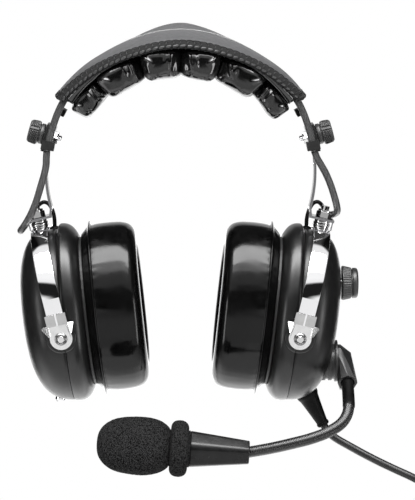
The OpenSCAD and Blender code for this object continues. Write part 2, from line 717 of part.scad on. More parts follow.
// Stepped collar on the shell, with the pin that the boom turns on
module boom_collar() {
    color(black) difference() {
        boom_axis() {
            rod_x(collar_r, collar_x, collar_x + 1.5, 96);
            for (i = [0 : 4])
                rod_x(i % 2 == 0 ? 11 : 11.8, collar_x - 1.9 * (i + 1), collar_x - 1.9 * i, 96);
            rod_x(boom_pin_r, 80, 101.2, 64);
        }
        cup_frame() shell_form(0);
    }
}

// Faceted arm root: a round back on the collar and a wedge that takes the gooseneck
module boom_block() {
    color(black) difference() {
        hull() {
            boom_axis() rod_x(10, 94.5, 96, 12);
            boom_axis() translate([0, 0, 0]) rod_x(5, 101, 102.4, 8);
            translate([99.4, -18, -41.2]) rotate([socket_a, 0, 0]) cylinder(r = 5.9, h = 2, $fn = 8);
            translate([98, -11, -42]) cube([7, 8, 5], center = true);
            translate([99.5, -8, -47]) cube([7.6, 3, 3], center = true);
        }
        boom_axis() rod_x(boom_pin_r + pin_gap, 90, 101.3, 64);
        boom_axis() rod_x(collar_r + 0.5, 90, collar_x + 1.7, 64);
        translate(boom_route[0]) rotate([socket_a, 0, 0]) cylinder(r = neck_r + 0.9, h = 30, $fn = 48);
    }
}

// Smooth sleeve first, then the ribbed metal hose
module gooseneck() {
    fine = smooth_route(boom_route, 14);
    count = len(fine) - 1;
    sleeve = 42;
    sleeve_r = neck_r + 0.35;
    ribs = [for (i = [0 : 2 * neck_ribs - 1])
        let (f = sleeve + 2 + (count - sleeve - 2) * i / (2 * neck_ribs - 1), k = min(floor(f), count - 1))
        fine[k] + (fine[k + 1] - fine[k]) * (f - k)];
    smooth = [for (i = [0 : 7 : sleeve]) fine[i]];
    points = concat(smooth, ribs);
    radii = concat([for (q = smooth) sleeve_r],
        [for (i = [0 : len(ribs) - 1]) i % 2 == 0 ? neck_r : neck_r - 0.5]);
    start_way = [0, -sin(socket_a), cos(socket_a)];
    color(black) skin(tube_rings(points, radii, 8, [0, 0, 1], start_way, neck_way));
}

module mic_housing() {
    big = [[-10.2, 3], [-8.4, 7.4], [-2, 8], [6.4, 6.6], [10.2, 2], [9.4, -5.4], [2, -7.6], [-8.2, -6.6]];
    color(black) difference() {
        hull() {
            mic_frame() mic_section(big, 1, 0);
            mic_frame() mic_section(big, 0.64, -33.4);
        }
        multmatrix(facing(neck_end, -neck_way)) cylinder(r = neck_r + 0.01, h = 10, $fn = 48);
    }
}

// Turns +Z to point along d, at the place p
function facing(p, d) = let (u = side_of(d, [0, 0, 1]), v = cross(d, u))
    [[u[0], v[0], d[0], p[0]], [u[1], v[1], d[1], p[1]], [u[2], v[2], d[2], p[2]], [0, 0, 0, 1]];

module mic_section(outline, k, z) {
    translate([0, 0, z]) linear_extrude(height = 0.8) polygon(outline * k);
}

module mic_capsule() {
    color(satin) mic_frame() difference() {
        union() {
            translate([0, 0, 0.85]) cylinder(r = 9, h = 14, $fn = 64);
            translate([0, 0, 14.85]) cylinder(r1 = 9, r2 = 6.5, h = 4, $fn = 64);
        }
        for (x = [-4, 0, 4]) translate([x - 0.7, -5, 16]) cube([1.4, 10, 5]);
    }
}

// Foam ball with its thick rolled mouth
module windscreen() {
    tip = 24;
    back = 20;
    neck_z = 11.6;
    mid_z = neck_z + 17;
    power = 2.5;
    front_half = [for (i = [0 : 12]) let (a = 90 * i / 12)
        [foam_r * pow(cos(a), 2 / power), mid_z + tip * pow(sin(a), 2 / power)]];
    rear_half = [for (z = [0, 3, 7, 12])
        [foam_r * pow(1 - pow((17 - z) / back, power), 1 / power), neck_z + z]];
    color([0.09, 0.09, 0.09]) mic_frame() difference() {
        union() {
            rotate_extrude($fn = 64) polygon(concat([[0, neck_z - 0.5]], [for (p = rear_half) p],
                [for (p = front_half) [max(p[0], 0), p[1]]]));
            rotate_extrude($fn = 64) polygon(concat([[0, 0.9], [11, 0.9]],
                [for (i = [0 : 8]) let (a = -90 + 22.5 * i) [11 + 4.9 * cos(a), 6.2 + 5.1 * sin(a)]],
                [[0, 11.3]]));
        }
        translate([0, 0, -1]) cylinder(r = 9.2, h = 20.2, $fn = 64);
    }
}

// ---- Main cord ----
module cord_boot() {
    color(soft_black) difference() {
        translate([76.2, 7, -52.8]) rotate([0, 180 - 28, 0]) rotate_extrude($fn = 48)
            polygon([[0, -3], [6.8, -3], [6.8, 3], [6.2, 4.2], [3.2, 23.8], [0, 23.8]]);
        cup_frame() shell_form(0);
    }
}

module main_cord() {
    start_way = [sin(28), 0, -cos(28)];
    color(black) tube(smooth_route(cord_route, 2), cord_d, 10, [0, 1, 0], start_way, [0, 0, -1]);
    color(black) tube(tail_route, cord_d, 10, [0, 1, 0]);
}

// The coil spirals in on one layer, climbs, and spirals out again on the next
function coil_turn(f) =
    let (half = coil_loops / 2, t = f / half,
        in = f <= half ? f : coil_loops - f,
        r = coil_out - coil_pitch * in,
        rise = f < half - 0.25 ? 0 : f > half + 0.25 ? 1 : (1 - cos((f - half + 0.25) * 360)) / 2,
        a = -360 * f)
    [coil_x + r * cos(a), coil_pitch * rise, coil_z + r * sin(a)];
coil_points = [for (i = [0 : coil_loops * coil_step]) coil_turn(i / coil_step)];
coil_gap = min([for (i = [0 : len(coil_points) - 1], j = [0 : len(coil_points) - 1])
    if (j - i > coil_step / 2) norm(coil_points[i] - coil_points[j])]) - cord_d;
echo(least_gap_in_coil = coil_gap);

module cord_coil() {
    color(black) tube(coil_points, cord_d, 6, [0, 1, 0], [0, 0, -1], [0, 0, -1]);
}

module cord_splitter() {
    color(soft_black) translate([plug_x, plug_y, splitter_z - splitter_len]) hull() {
        translate([0, 0, splitter_len - 1]) cylinder(r = 3.6, h = 1, $fn = 32);
        translate([0, 0, splitter_len - 8]) cylinder(r = 5.2, h = 1, $fn = 32);
        for (x = [-4, 4]) translate([x, 0, 0]) cylinder(r = 3.4, h = 1, $fn = 32);
    }
}

function lead_route(side) = [for (i = [0 : 8]) let (f = i / 8)
    [plug_x + side * (4 + (plug_gap - 4) * (1 - cos(180 * f)) / 2), plug_y,
        splitter_z - splitter_len - lead_len * f]];

module plug_leads() {
    color(black) for (side = [-1, 1])
        tube(lead_route(side), lead_d, 8, [0, 1, 0], [0, 0, -1], [0, 0, -1]);
}

// A plug that hangs tip down: strain relief, barrel, shaft and grooved tip
module plug(r, shaft, barrel_r) {
    color(soft_black) rotate_extrude($fn = 48) polygon([[0, 0], [2.4, 0], [3.4, -9], [barrel_r - 0.6, -9.4],
        [barrel_r, -11], [barrel_r, -34], [barrel_r - 0.8, -35], [0, -35]]);
    color("gold") rotate_extrude($fn = 64) polygon([[0, -34.9], [r, -34.9], [r, -35 - shaft],
        [r * 0.62, -35.8 - shaft], [r * 0.62, -37 - shaft], [r * 0.95, -38.6 - shaft],
        [r * 0.3, -41.6 - shaft], [0, -41.6 - shaft]]);
}

module headphone_plug() {
    translate([plug_x - plug_gap, plug_y, splitter_z - splitter_len - lead_len]) plug(phone_plug_r, 23, 7);
}

module microphone_plug() {
    translate([plug_x + plug_gap, plug_y, splitter_z - splitter_len - lead_len]) plug(mic_plug_r, 22, 6.4);
}

head_strap();
head_pad_cover();
cushion_backing();
head_cushions();
clamp_guide(true);  // left_clamp_guide
clamp_guide(false);  // right_clamp_guide
cable_clip(true);  // left_cable_clip
cable_clip(false);  // right_cable_clip
cross_cable();
clamp_knob(true);  // left_clamp_knob
clamp_knob(false);  // right_clamp_knob
clamp_screw(true);  // left_clamp_screw
clamp_screw(false);  // right_clamp_screw
hanger(true);  // left_hanger
hanger(false);  // right_hanger
strap_cap(true);  // left_strap_cap
strap_cap(false);  // right_strap_cap
swivel_bolt(true);  // left_swivel_bolt
swivel_bolt(false);  // right_swivel_bolt
cable_turn(true);  // left_cable_turn
cable_turn(false);  // right_cable_turn
cup_lead(true);  // left_cup_lead
cup_lead(false);  // right_cup_lead
stirrup(true);  // left_stirrup
stirrup(false);  // right_stirrup
stirrup_ends(true);  // left_stirrup_ends
stirrup_ends(false);  // right_stirrup_ends
outer_shell(true);  // left_outer_shell
outer_shell(false);  // right_outer_shell
inner_shell(true);  // left_inner_shell
inner_shell(false);  // right_inner_shell
seal_plate(true);  // left_seal_plate
seal_plate(false);  // right_seal_plate
ear_cushion(true);  // left_ear_cushion
ear_cushion(false);  // right_ear_cushion
ear_foam(true);  // left_ear_foam
ear_foam(false);  // right_ear_foam
speaker(true);  // left_speaker
speaker(false);  // right_speaker
pivot_studs(true);  // left_pivot_studs
pivot_studs(false);  // right_pivot_studs
lead_grommet(true);  // left_lead_grommet
lead_grommet(false);  // right_lead_grommet
left_shell_screw();
volume_control();
volume_knob();
boom_collar();
boom_block();
gooseneck();
mic_housing();
mic_capsule();
windscreen();
cord_boot();
main_cord();
cord_coil();
cord_splitter();
plug_leads();
headphone_plug();
microphone_plug();
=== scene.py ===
import json
import math
import random

import bmesh
import bpy
from mathutils import Matrix, Vector, noise
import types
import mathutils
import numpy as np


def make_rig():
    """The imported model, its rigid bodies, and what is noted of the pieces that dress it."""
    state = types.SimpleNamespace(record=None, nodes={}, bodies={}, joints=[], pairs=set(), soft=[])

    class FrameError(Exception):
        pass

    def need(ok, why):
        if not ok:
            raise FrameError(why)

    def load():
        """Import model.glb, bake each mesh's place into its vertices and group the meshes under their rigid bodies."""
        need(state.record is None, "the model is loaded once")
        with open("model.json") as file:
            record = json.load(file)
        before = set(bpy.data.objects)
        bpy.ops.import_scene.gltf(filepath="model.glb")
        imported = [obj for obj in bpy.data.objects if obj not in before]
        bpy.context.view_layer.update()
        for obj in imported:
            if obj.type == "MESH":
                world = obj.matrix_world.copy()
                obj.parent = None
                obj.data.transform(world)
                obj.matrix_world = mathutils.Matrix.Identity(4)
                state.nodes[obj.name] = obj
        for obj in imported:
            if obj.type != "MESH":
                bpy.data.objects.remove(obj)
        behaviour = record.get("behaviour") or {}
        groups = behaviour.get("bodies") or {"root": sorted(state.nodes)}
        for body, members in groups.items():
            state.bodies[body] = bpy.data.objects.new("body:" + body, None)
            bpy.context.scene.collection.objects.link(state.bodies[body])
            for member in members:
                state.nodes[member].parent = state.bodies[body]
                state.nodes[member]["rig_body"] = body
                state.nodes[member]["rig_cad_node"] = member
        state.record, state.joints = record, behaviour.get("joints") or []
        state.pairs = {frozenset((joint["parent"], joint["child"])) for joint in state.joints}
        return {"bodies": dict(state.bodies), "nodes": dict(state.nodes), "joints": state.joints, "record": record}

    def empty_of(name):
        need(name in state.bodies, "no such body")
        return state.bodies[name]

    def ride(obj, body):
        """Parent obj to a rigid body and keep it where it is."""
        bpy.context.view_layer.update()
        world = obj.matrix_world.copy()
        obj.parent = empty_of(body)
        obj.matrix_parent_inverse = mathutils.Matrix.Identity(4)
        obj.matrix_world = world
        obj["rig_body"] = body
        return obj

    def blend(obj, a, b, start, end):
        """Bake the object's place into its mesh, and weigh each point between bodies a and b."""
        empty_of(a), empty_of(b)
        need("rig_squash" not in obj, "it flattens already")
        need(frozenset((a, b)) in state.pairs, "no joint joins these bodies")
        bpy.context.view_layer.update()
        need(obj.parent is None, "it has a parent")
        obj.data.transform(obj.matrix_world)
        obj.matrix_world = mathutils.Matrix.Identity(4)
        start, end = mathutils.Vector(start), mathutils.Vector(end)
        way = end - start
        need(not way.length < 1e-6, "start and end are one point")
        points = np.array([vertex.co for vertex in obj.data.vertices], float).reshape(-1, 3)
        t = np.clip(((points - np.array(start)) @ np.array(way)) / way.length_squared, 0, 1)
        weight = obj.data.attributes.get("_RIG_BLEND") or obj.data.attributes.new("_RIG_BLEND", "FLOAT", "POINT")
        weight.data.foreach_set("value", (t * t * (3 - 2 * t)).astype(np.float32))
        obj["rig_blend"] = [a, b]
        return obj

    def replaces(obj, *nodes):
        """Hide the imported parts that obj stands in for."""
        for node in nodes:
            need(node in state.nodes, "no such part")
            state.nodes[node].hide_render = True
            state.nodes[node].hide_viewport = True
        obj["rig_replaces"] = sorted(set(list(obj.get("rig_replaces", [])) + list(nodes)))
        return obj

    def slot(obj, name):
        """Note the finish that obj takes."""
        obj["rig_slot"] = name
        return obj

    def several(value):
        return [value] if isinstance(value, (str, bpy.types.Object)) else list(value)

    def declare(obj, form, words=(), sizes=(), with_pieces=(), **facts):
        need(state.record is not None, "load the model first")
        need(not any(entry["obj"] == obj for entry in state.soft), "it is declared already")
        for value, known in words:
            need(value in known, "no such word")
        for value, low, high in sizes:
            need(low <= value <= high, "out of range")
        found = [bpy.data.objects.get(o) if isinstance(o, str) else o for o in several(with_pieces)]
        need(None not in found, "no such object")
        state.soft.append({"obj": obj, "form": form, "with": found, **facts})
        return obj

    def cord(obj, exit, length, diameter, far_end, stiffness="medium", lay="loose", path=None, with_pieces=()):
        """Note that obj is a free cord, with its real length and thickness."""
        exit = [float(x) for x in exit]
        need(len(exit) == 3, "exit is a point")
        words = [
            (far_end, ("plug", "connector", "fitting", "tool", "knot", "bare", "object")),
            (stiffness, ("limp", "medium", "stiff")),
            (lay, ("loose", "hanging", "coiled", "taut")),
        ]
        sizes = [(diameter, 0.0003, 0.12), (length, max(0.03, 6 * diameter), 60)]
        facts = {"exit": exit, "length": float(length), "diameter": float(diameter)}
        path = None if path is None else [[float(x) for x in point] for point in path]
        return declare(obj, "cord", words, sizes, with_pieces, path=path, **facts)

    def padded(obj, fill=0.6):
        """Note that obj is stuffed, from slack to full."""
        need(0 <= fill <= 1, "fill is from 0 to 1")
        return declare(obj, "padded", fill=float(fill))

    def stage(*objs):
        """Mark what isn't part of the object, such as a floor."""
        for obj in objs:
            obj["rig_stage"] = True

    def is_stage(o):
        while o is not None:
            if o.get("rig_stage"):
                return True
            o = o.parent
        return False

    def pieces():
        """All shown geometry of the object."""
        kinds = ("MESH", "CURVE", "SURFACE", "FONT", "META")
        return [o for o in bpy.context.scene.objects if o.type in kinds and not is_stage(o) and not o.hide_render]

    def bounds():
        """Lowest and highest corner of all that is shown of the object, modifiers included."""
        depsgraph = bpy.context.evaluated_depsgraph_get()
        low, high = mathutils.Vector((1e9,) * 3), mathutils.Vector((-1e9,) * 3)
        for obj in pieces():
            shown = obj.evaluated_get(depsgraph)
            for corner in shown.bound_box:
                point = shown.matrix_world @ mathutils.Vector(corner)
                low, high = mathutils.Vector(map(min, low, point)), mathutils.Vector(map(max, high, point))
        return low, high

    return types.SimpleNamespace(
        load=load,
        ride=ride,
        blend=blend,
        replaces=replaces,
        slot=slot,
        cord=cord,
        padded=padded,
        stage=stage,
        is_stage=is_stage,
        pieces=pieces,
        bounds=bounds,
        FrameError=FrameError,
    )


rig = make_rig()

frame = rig.load()
cad_low, cad_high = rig.bounds()
MM = 0.001
SIDES = ("left", "right")
IDENTITY = Matrix.Identity(4)

# ---- Sizes, in millimetres and degrees, as in part.scad ----
BAND_Z = 82
CLAMP_A = 15.5
PIVOT = (69.5, 0, -11)
CUP_TILT = 6
OVAL = 2.15
SEAM_X = -1.5
SHELL_HALF_W = 40.6
SHELL_HALF_H = 51.75
SHELL_DEPTH = 25.6
SHELL_WALL = 2.4
SHELL_MID = 6.75
SHELL_POWER = 2.8
DOME_RISE = 3
INNER_HALF_W = 41.4
INNER_HALF_H = 53.6
INNER_MID = 8.1
INNER_CROWN_X = -4.5
INNER_DEPTH = 14.6
INNER_POWER = 2.6
INNER_RIM_X = -14
BOSS_R = 9
BOSS_Y = 42.6
CUSHION_H = 50.2
CUSHION_W = 40.2
CUSHION_FACE = -48.2
CUSHION_MID = 8.7
PAD_END_A = 57.5
PAD_HALF_W = 42
PAD_END_W = 14
PAD_T = 1.6
PAD_TOP = ((0, 84.6), (12, 84.2), (19, 84), (26, 83.9), (34, 84.2), (44, 85.4), (57.5, 86.9))
PAD_FRONT = ((0, 79.9), (9, 79.6), (20, 79.4), (31, 80.4), (42, 82.2), (50, 83.6), (57.5, 85.6))
PAD_REAR = ((0, 89), (4.3, 88.3), (8.5, 87.1), (12.8, 85.6), (17, 84.1), (22, 82.3), (30, 80.7),
            (40, 80.2), (50, 81.2), (57.5, 83.2))
PLATE_Y = 43.9
KNOB_IN = 84.3
KNOB_LEN = 9.2
NECK_R = 3.3
MIC_PLACE = (5.3, -89, -65.6)
MIC_TILT = 3.6
MIC_LEN = 33.4
FOAM_R = 16.3
VOLUME_X = 96.7
VOLUME_Z = 15
BOOT_PLACE = (76.2, 7, -52.8)
BOOT_LEAN = 28
CORD_D = 4.8
COIL_X = 129.4
COIL_Z = -164
COIL_PITCH = 5.6
COIL_OUT = 39
COIL_LOOPS = 6
PLUG_X = 168.4
PLUG_Y = 5.6
PLUG_GAP = 9
LEAD_GAP = 4
SPLITTER_Z = -186
SPLITTER_LEN = 26
LEAD_LEN = 58
LEAD_D = 3.6

# The pillows of one side, from the crown out. They press together: they sit up to 1 degree nearer
# the crown than in part.scad, and the last two are longer. Each domed end is PILLOW_CAP deep and
# stands PILLOW_END past the half width.
PILLOW_NAMES = ("inner", "middle", "end")
PILLOW_A = (9.3, 30.3, 49.9)
PILLOW_LOW = (57.6, 58.9, 62.4)
PILLOW_HALF = (36.5, 29, 18.8)
PILLOW_LEN = (11.5, 13.7, 11.7)
PILLOW_TOP = 75.7
PILLOW_CAP = 8.5
PILLOW_END = 2.5

# ---- Sizes that only the scene has ----
SHELL_LIP = 0.5
SEAM_GAP = 0.12
EAR_FOAM_INSET = 18
TAB_Y = 45.5
BACKING_END_A = 54
PAD_END_ZONE = 0.6
HEM_LOW = 75.6
COIL_STEPS = 72
STITCH_FRAMES = 11
CAMERA_DISTANCE = 1200
CAMERA_RISE = 8
AIM_Z = 35
PHOTO_LONG_SIDE = 500
FOCAL_PX = 2000
MIDDLE_SHIFT_PX = 26.9
FLOOR_Z = -345
FLOOR_HALF = 9000
LAMP_AIM = (0, 0, 20)

# Name, azimuth, rise, distance, width and height in metres, radiance, and whether it lights.
LAMPS = (("key_lamp", 0, 50, 1.6, 2.3, 1.05, 4.4, True),
         ("window_lamp", 0, 66, 1.6, 2.3, 0.8, 15, False),
         ("window_edge", 0, 46, 1.7, 2.3, 0.35, 4, False),
         ("side_lamp", -62, -10, 2.0, 0.4, 1.2, 7, False),
         ("side_lamp", 62, -10, 2.0, 0.4, 1.2, 7, False),
         ("back_card", 180, -24, 0.38, 0.56, 0.34, 1.5, False))

# Brightness of the reflected studio, from the front (0) over the top (90) to the back (180), and
# from the front through the floor (-90) to the back (-180).
STUDIO = ((-180, 0.8), (-130, 1.0), (-100, 1.0), (-78, 0.5), (-52, 0.6), (-28, 0.9), (-9, 0.92),
          (-3, 0.012), (19, 0.012), (22, 0.9), (30, 1.0), (98, 0.85), (103, 0.05), (150, 0.05),
          (154, 0.7), (180, 0.8))

# ---- Routes of the cords. Those of the left side are mirrored when they are built ----
BOOM_ROUTE = ((99.5, -12, -37.6), (99.4, -18, -41.2), (99.2, -30, -48.5), (98.6, -39, -53),
              (96.6, -47, -56.4), (92.3, -56, -59.2), (84, -66, -61.6), (74.4, -74, -63.2),
              (65, -79.2, -64.4), (52, -84, -66.2), (40, -86.4, -67.8), (35, -87.2, -68.2))
CABLE_END = (79.077, -9.4, 95.375)
LEFT_TURN = (CABLE_END, (79.4, -9.4, 91), (79.6, -9.4, 87), (80.6, -9.4, 82), (82.4, -9.4, 76),
             (84.2, -9.3, 70), (86.2, -9.1, 64), (88.8, -8.9, 58), (91.4, -8.5, 53.2),
             (93.6, -7.2, 49.8), (95.3, -3.6, 47.4), (95.8, 1.4, 46.6), (95.2, 6.4, 47.1),
             (93.8, 10.6, 48.8), (91.6, 13, 51.6), (89.4, 13.6, 55))
RIGHT_TURN = (CABLE_END, (80.8, -9.4, 91), (83.2, -9.4, 87), (86, -9.4, 82), (88.6, -9.2, 76),
              (90.7, -8.4, 70), (92.4, -6.6, 64.5), (93.4, -3.6, 60.4), (93.6, 0.2, 58), (93, 4, 56.6),
              (91.2, 7.6, 55.4), (88.9, 10, 54.4), (87, 11, 55.4))
LEFT_LEAD = ((89.4, 13.6, 55), (88, 13.4, 57.4), (85.8, 12.4, 60.6), (82.6, 11.2, 62.6),
             (79.4, 10.4, 61.4), (77.2, 9.6, 57.6), (76.1, 9.1, 52.8), (75.97, 9, 48))
RIGHT_LEAD = ((87, 11, 55.4), (86.4, 11.4, 57.6), (85.4, 11.4, 60.6), (82.8, 11, 62.8),
              (79.8, 10.4, 61.8), (77.4, 9.6, 57.8), (76.1, 9.1, 52.8), (75.97, 9, 48))
CORD_ROUTE = ((87.4, 7, -73.8), (88.8, 7, -76.2), (91.4, 6.4, -79.4), (96, 5.4, -82.6),
              (103, 4.2, -86.4), (112, 3, -91.2), (122, 2, -96.2), (132, 1, -100.8),
              (141, 0, -104.8), (149, 0, -109.4), (156, 0, -116), (161, 0, -124),
              (164.4, 0, -133), (166.6, 0, -142), (168, 0, -152), (168.4, 0, -158), (168.4, 0, -164))
TAIL_ROUTE = ((168.4, 5.6, -164), (168.4, 5.6, -168.8), (168.4, 5.6, -176), (168.4, 5.6, -186))


# ---- Numbers ----
def steps(low, high, count):
    """Even steps from low to high, both ends included."""
    return [low + (high - low) * i / count for i in range(count + 1)]


def circle(count):
    """Angles once round, in radians."""
    return [2 * math.pi * j / count for j in range(count)]


def table_value(table, at):
    """Straight-line reading of a table of (at, value)."""
    for (a, p), (b, q) in zip(table, table[1:]):
        if at <= b:
            return p + (q - p) * (at - a) / (b - a)
    return table[-1][1]


def signed_pow(value, power):
    return math.copysign(abs(value) ** power, value)


def bump_at(value, centre, width):
    return math.exp(-((value - centre) / width) ** 2)


def clamped(value):
    return min(max(value, 0), 1)


def noise_at(*place):
    return noise.noise(Vector(place))


# ---- Frames, as in part.scad ----
def turned(axis, degrees):
    return Matrix.Rotation(math.radians(degrees), 4, axis)


FRONT_AND_BACK = (turned("X", 90), turned("X", -90))
MIC_FRAME = Matrix.Translation(MIC_PLACE) @ turned("Y", MIC_TILT - 90)


def side_matrix(side):
    return Matrix.Scale(-1, 4, (1, 0, 0)) if side == "left" else IDENTITY.copy()


def cup_matrix(side):
    return side_matrix(side) @ Matrix.Translation(PIVOT) @ turned("Y", CUP_TILT)


def along_x(x=0, z=0):
    """Turns a shape made along Z so that it runs along +X from that place."""
    return Matrix.Translation((x, 0, z)) @ turned("Y", 90)


def clamp_matrix(side, x=0):
    """The clamp screw's line: a shape made along Z runs outward from radius x."""
    return side_matrix(side) @ Matrix.Translation((0, 0, BAND_Z)) @ turned("Y", -CLAMP_A) @ along_x(x)


def arc_place(a, radius, y):
    """The place at angle a from the crown, in radians, and at that radius round the straps' centre."""
    return Vector((radius * math.sin(a), y, BAND_Z + radius * math.cos(a)))


# ---- Meshes, from points in millimetres ----
def link_object(name, data):
    obj = bpy.data.objects.new(name, data)
    bpy.context.scene.collection.objects.link(obj)
    return obj


def add_mesh(name, points, faces, matrix=IDENTITY):
    mesh = bpy.data.meshes.new(name)
    mesh.from_pydata([(matrix @ Vector(p)) * MM for p in points], [], faces)
    bm = bmesh.new()
    bm.from_mesh(mesh)
    bmesh.ops.remove_doubles(bm, verts=bm.verts, dist=1e-7)
    bmesh.ops.recalc_face_normals(bm, faces=bm.faces)
    bm.to_mesh(mesh)
    bm.free()
    for polygon in mesh.polygons:
        polygon.use_smooth = True
    return link_object(name, mesh)


def loft(name, rings, matrix=IDENTITY, wrap=False):
    """Joins rings of as many points each into a closed solid."""
    n, m = len(rings), len(rings[0])
    faces = []
    for i in range(n if wrap else n - 1):
        a, b = i * m, ((i + 1) % n) * m
        for j in range(m):
            k = (j + 1) % m
            faces.append((a + j, a + k, b + k, b + j))
    if not wrap:
        faces += [tuple(range(m)), tuple(range((n - 1) * m, n * m))]
    return add_mesh(name, [p for ring in rings for p in ring], faces, matrix)


def revolve(name, profile, matrix=IDENTITY, count=72, shape=None, wrap=False):
    """profile runs from end to end as (radius, height); shape(angle, height) scales the radius."""
    rings = []
    for radius, height in profile:
        ring = []
        for a in circle(count):
            r = max(radius, 0.002) * (shape(a, height) if shape else 1)
            ring.append((r * math.cos(a), r * math.sin(a), height))
        rings.append(ring)
    return loft(name, rings, matrix, wrap)


def smooth_route(points, parts):
    """A curve through the points, with that many parts between two of them."""
    p = [Vector(q) for q in points]
    out = []
    for i in range(len(p) - 1):
        a, b, c, d = p[max(i - 1, 0)], p[i], p[i + 1], p[min(i + 2, len(p) - 1)]
        for k in range(parts):
            s = k / parts
            out.append(0.5 * (2 * b + (c - a) * s + (2 * a - 5 * b + 4 * c - d) * s ** 2
                              + (3 * b - a - 3 * c + d) * s ** 3))
    return out + [p[-1]]


def route_length(points):
    return sum((b - a).length for a, b in zip(points, points[1:]))


def even_route(points, pitch):
    """The same route with points a near-even pitch apart."""
    total = route_length(points)
    out, i, done = [], 0, 0.0
    for goal in steps(0, total, max(2, round(total / pitch))):
        while i < len(points) - 2 and done + (points[i + 1] - points[i]).length < goal:
            done += (points[i + 1] - points[i]).length
            i += 1
        length = (points[i + 1] - points[i]).length
        out.append(points[i].lerp(points[i + 1], (goal - done) / length if length else 0))
    return out


def tube(name, points, radius, sides=20, matrix=IDENTITY):
    """radius is a number, or a function of the point's index and the angle. The rings are carried
    along the route without twist."""
    rings, side = [], None
    for i, q in enumerate(points):
        way = (points[min(i + 1, len(points) - 1)] - points[max(i - 1, 0)]).normalized()
        side = way.orthogonal() if side is None else side - way * side.dot(way)
        side.normalize()
        up = way.cross(side)
        ring = []
        for a in circle(sides):
            r = radius(i, a) if callable(radius) else radius
            ring.append(q + side * (r * math.cos(a)) + up * (r * math.sin(a)))
        rings.append(ring)
    return loft(name, rings, matrix)


def joined(name, objects):
    """One object from several, each keeping its own material."""
    materials = []
    whole = bmesh.new()
    for obj in objects:
        for material in obj.data.materials:
            if material not in materials:
                materials.append(material)
            for polygon in obj.data.polygons:
                polygon.material_index = materials.index(material)
        whole.from_mesh(obj.data)
        bpy.data.objects.remove(obj)
    mesh = bpy.data.meshes.new(name)
    whole.to_mesh(mesh)
    whole.free()
    for material in materials:
        mesh.materials.append(material)
    return link_object(name, mesh)


def keep_side(obj, point, normal, matrix):
    """Cuts a closed mesh by a plane and closes it again, without the side the normal points to."""
    bm = bmesh.new()
    bm.from_mesh(obj.data)
    cut = bmesh.ops.bisect_plane(bm, geom=bm.verts[:] + bm.edges[:] + bm.faces[:],
                                 plane_co=(matrix @ Vector(point)) * MM,
                                 plane_no=matrix.to_3x3() @ Vector(normal), clear_outer=True)
    edges = [e for e in cut["geom_cut"] if isinstance(e, bmesh.types.BMEdge)]
    bmesh.ops.edgenet_fill(bm, edges=edges)
    bmesh.ops.recalc_face_normals(bm, faces=bm.faces)
    bm.to_mesh(obj.data)
    bm.free()
    return obj


def coated(obj, material):
    obj.data.materials.append(material)
    return obj


def dress(obj, body, slot, *nodes):
    """Gives a piece its body and slot, and the CAD nodes that it stands for."""
    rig.ride(obj, body)
    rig.slot(obj, slot)
    if nodes:
        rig.replaces(obj, *nodes)
    return obj


# ---- Node graphs ----
def rgba(color):
    """An opaque colour, also from one number for a grey."""
    return (*color, 1) if isinstance(color, tuple) else (color, color, color, 1)


class Graph:
    """Short calls for the nodes of a material or a world."""

    def __init__(self, owner):
        owner.use_nodes = True
        self.nodes = owner.node_tree.nodes
        self.links = owner.node_tree.links

    def feed(self, socket, value):
        """Links an output to a socket, or sets a constant on it."""
        if isinstance(value, bpy.types.NodeSocket):
            self.links.new(value, socket)
        else:
            socket.default_value = value

    def add(self, kind, inputs=None):
        node = self.nodes.new("ShaderNode" + kind)
        for name, value in (inputs or {}).items():
            self.feed(node.inputs[name], value)
        return node

    def calc(self, operation, *values):
        node = self.add("Math", dict(enumerate(values)))
        node.operation = operation
        return node.outputs[0]

    def spread(self, value, from_low, from_high, to_low=0.0, to_high=1.0, kind="LINEAR"):
        node = self.add("MapRange", {"Value": value, "From Min": from_low, "From Max": from_high,
                                     "To Min": to_low, "To Max": to_high})
        node.interpolation_type = kind
        return node.outputs["Result"]

    def ramp(self, value, stops):
        """The colour at value between (position, colour) stops."""
        node = self.add("ValToRGB", {"Fac": value})
        elements = node.color_ramp.elements
        elements.remove(elements[1])
        for i, (at, color) in enumerate(stops):
            stop = elements.new(at) if i else elements[0]
            stop.position = at
            stop.color = rgba(color)
        return node.outputs["Color"]

    def mixed(self, share, first, second):
        return self.add("MixShader", {"Fac": share, 1: first, 2: second}).outputs[0]

    def seen(self):
        """1 for a ray from the camera, also through something clear, and 0 for the rest."""
        rays = self.add("LightPath").outputs
        return self.calc("MAXIMUM", rays["Is Camera Ray"], rays["Is Transmission Ray"])


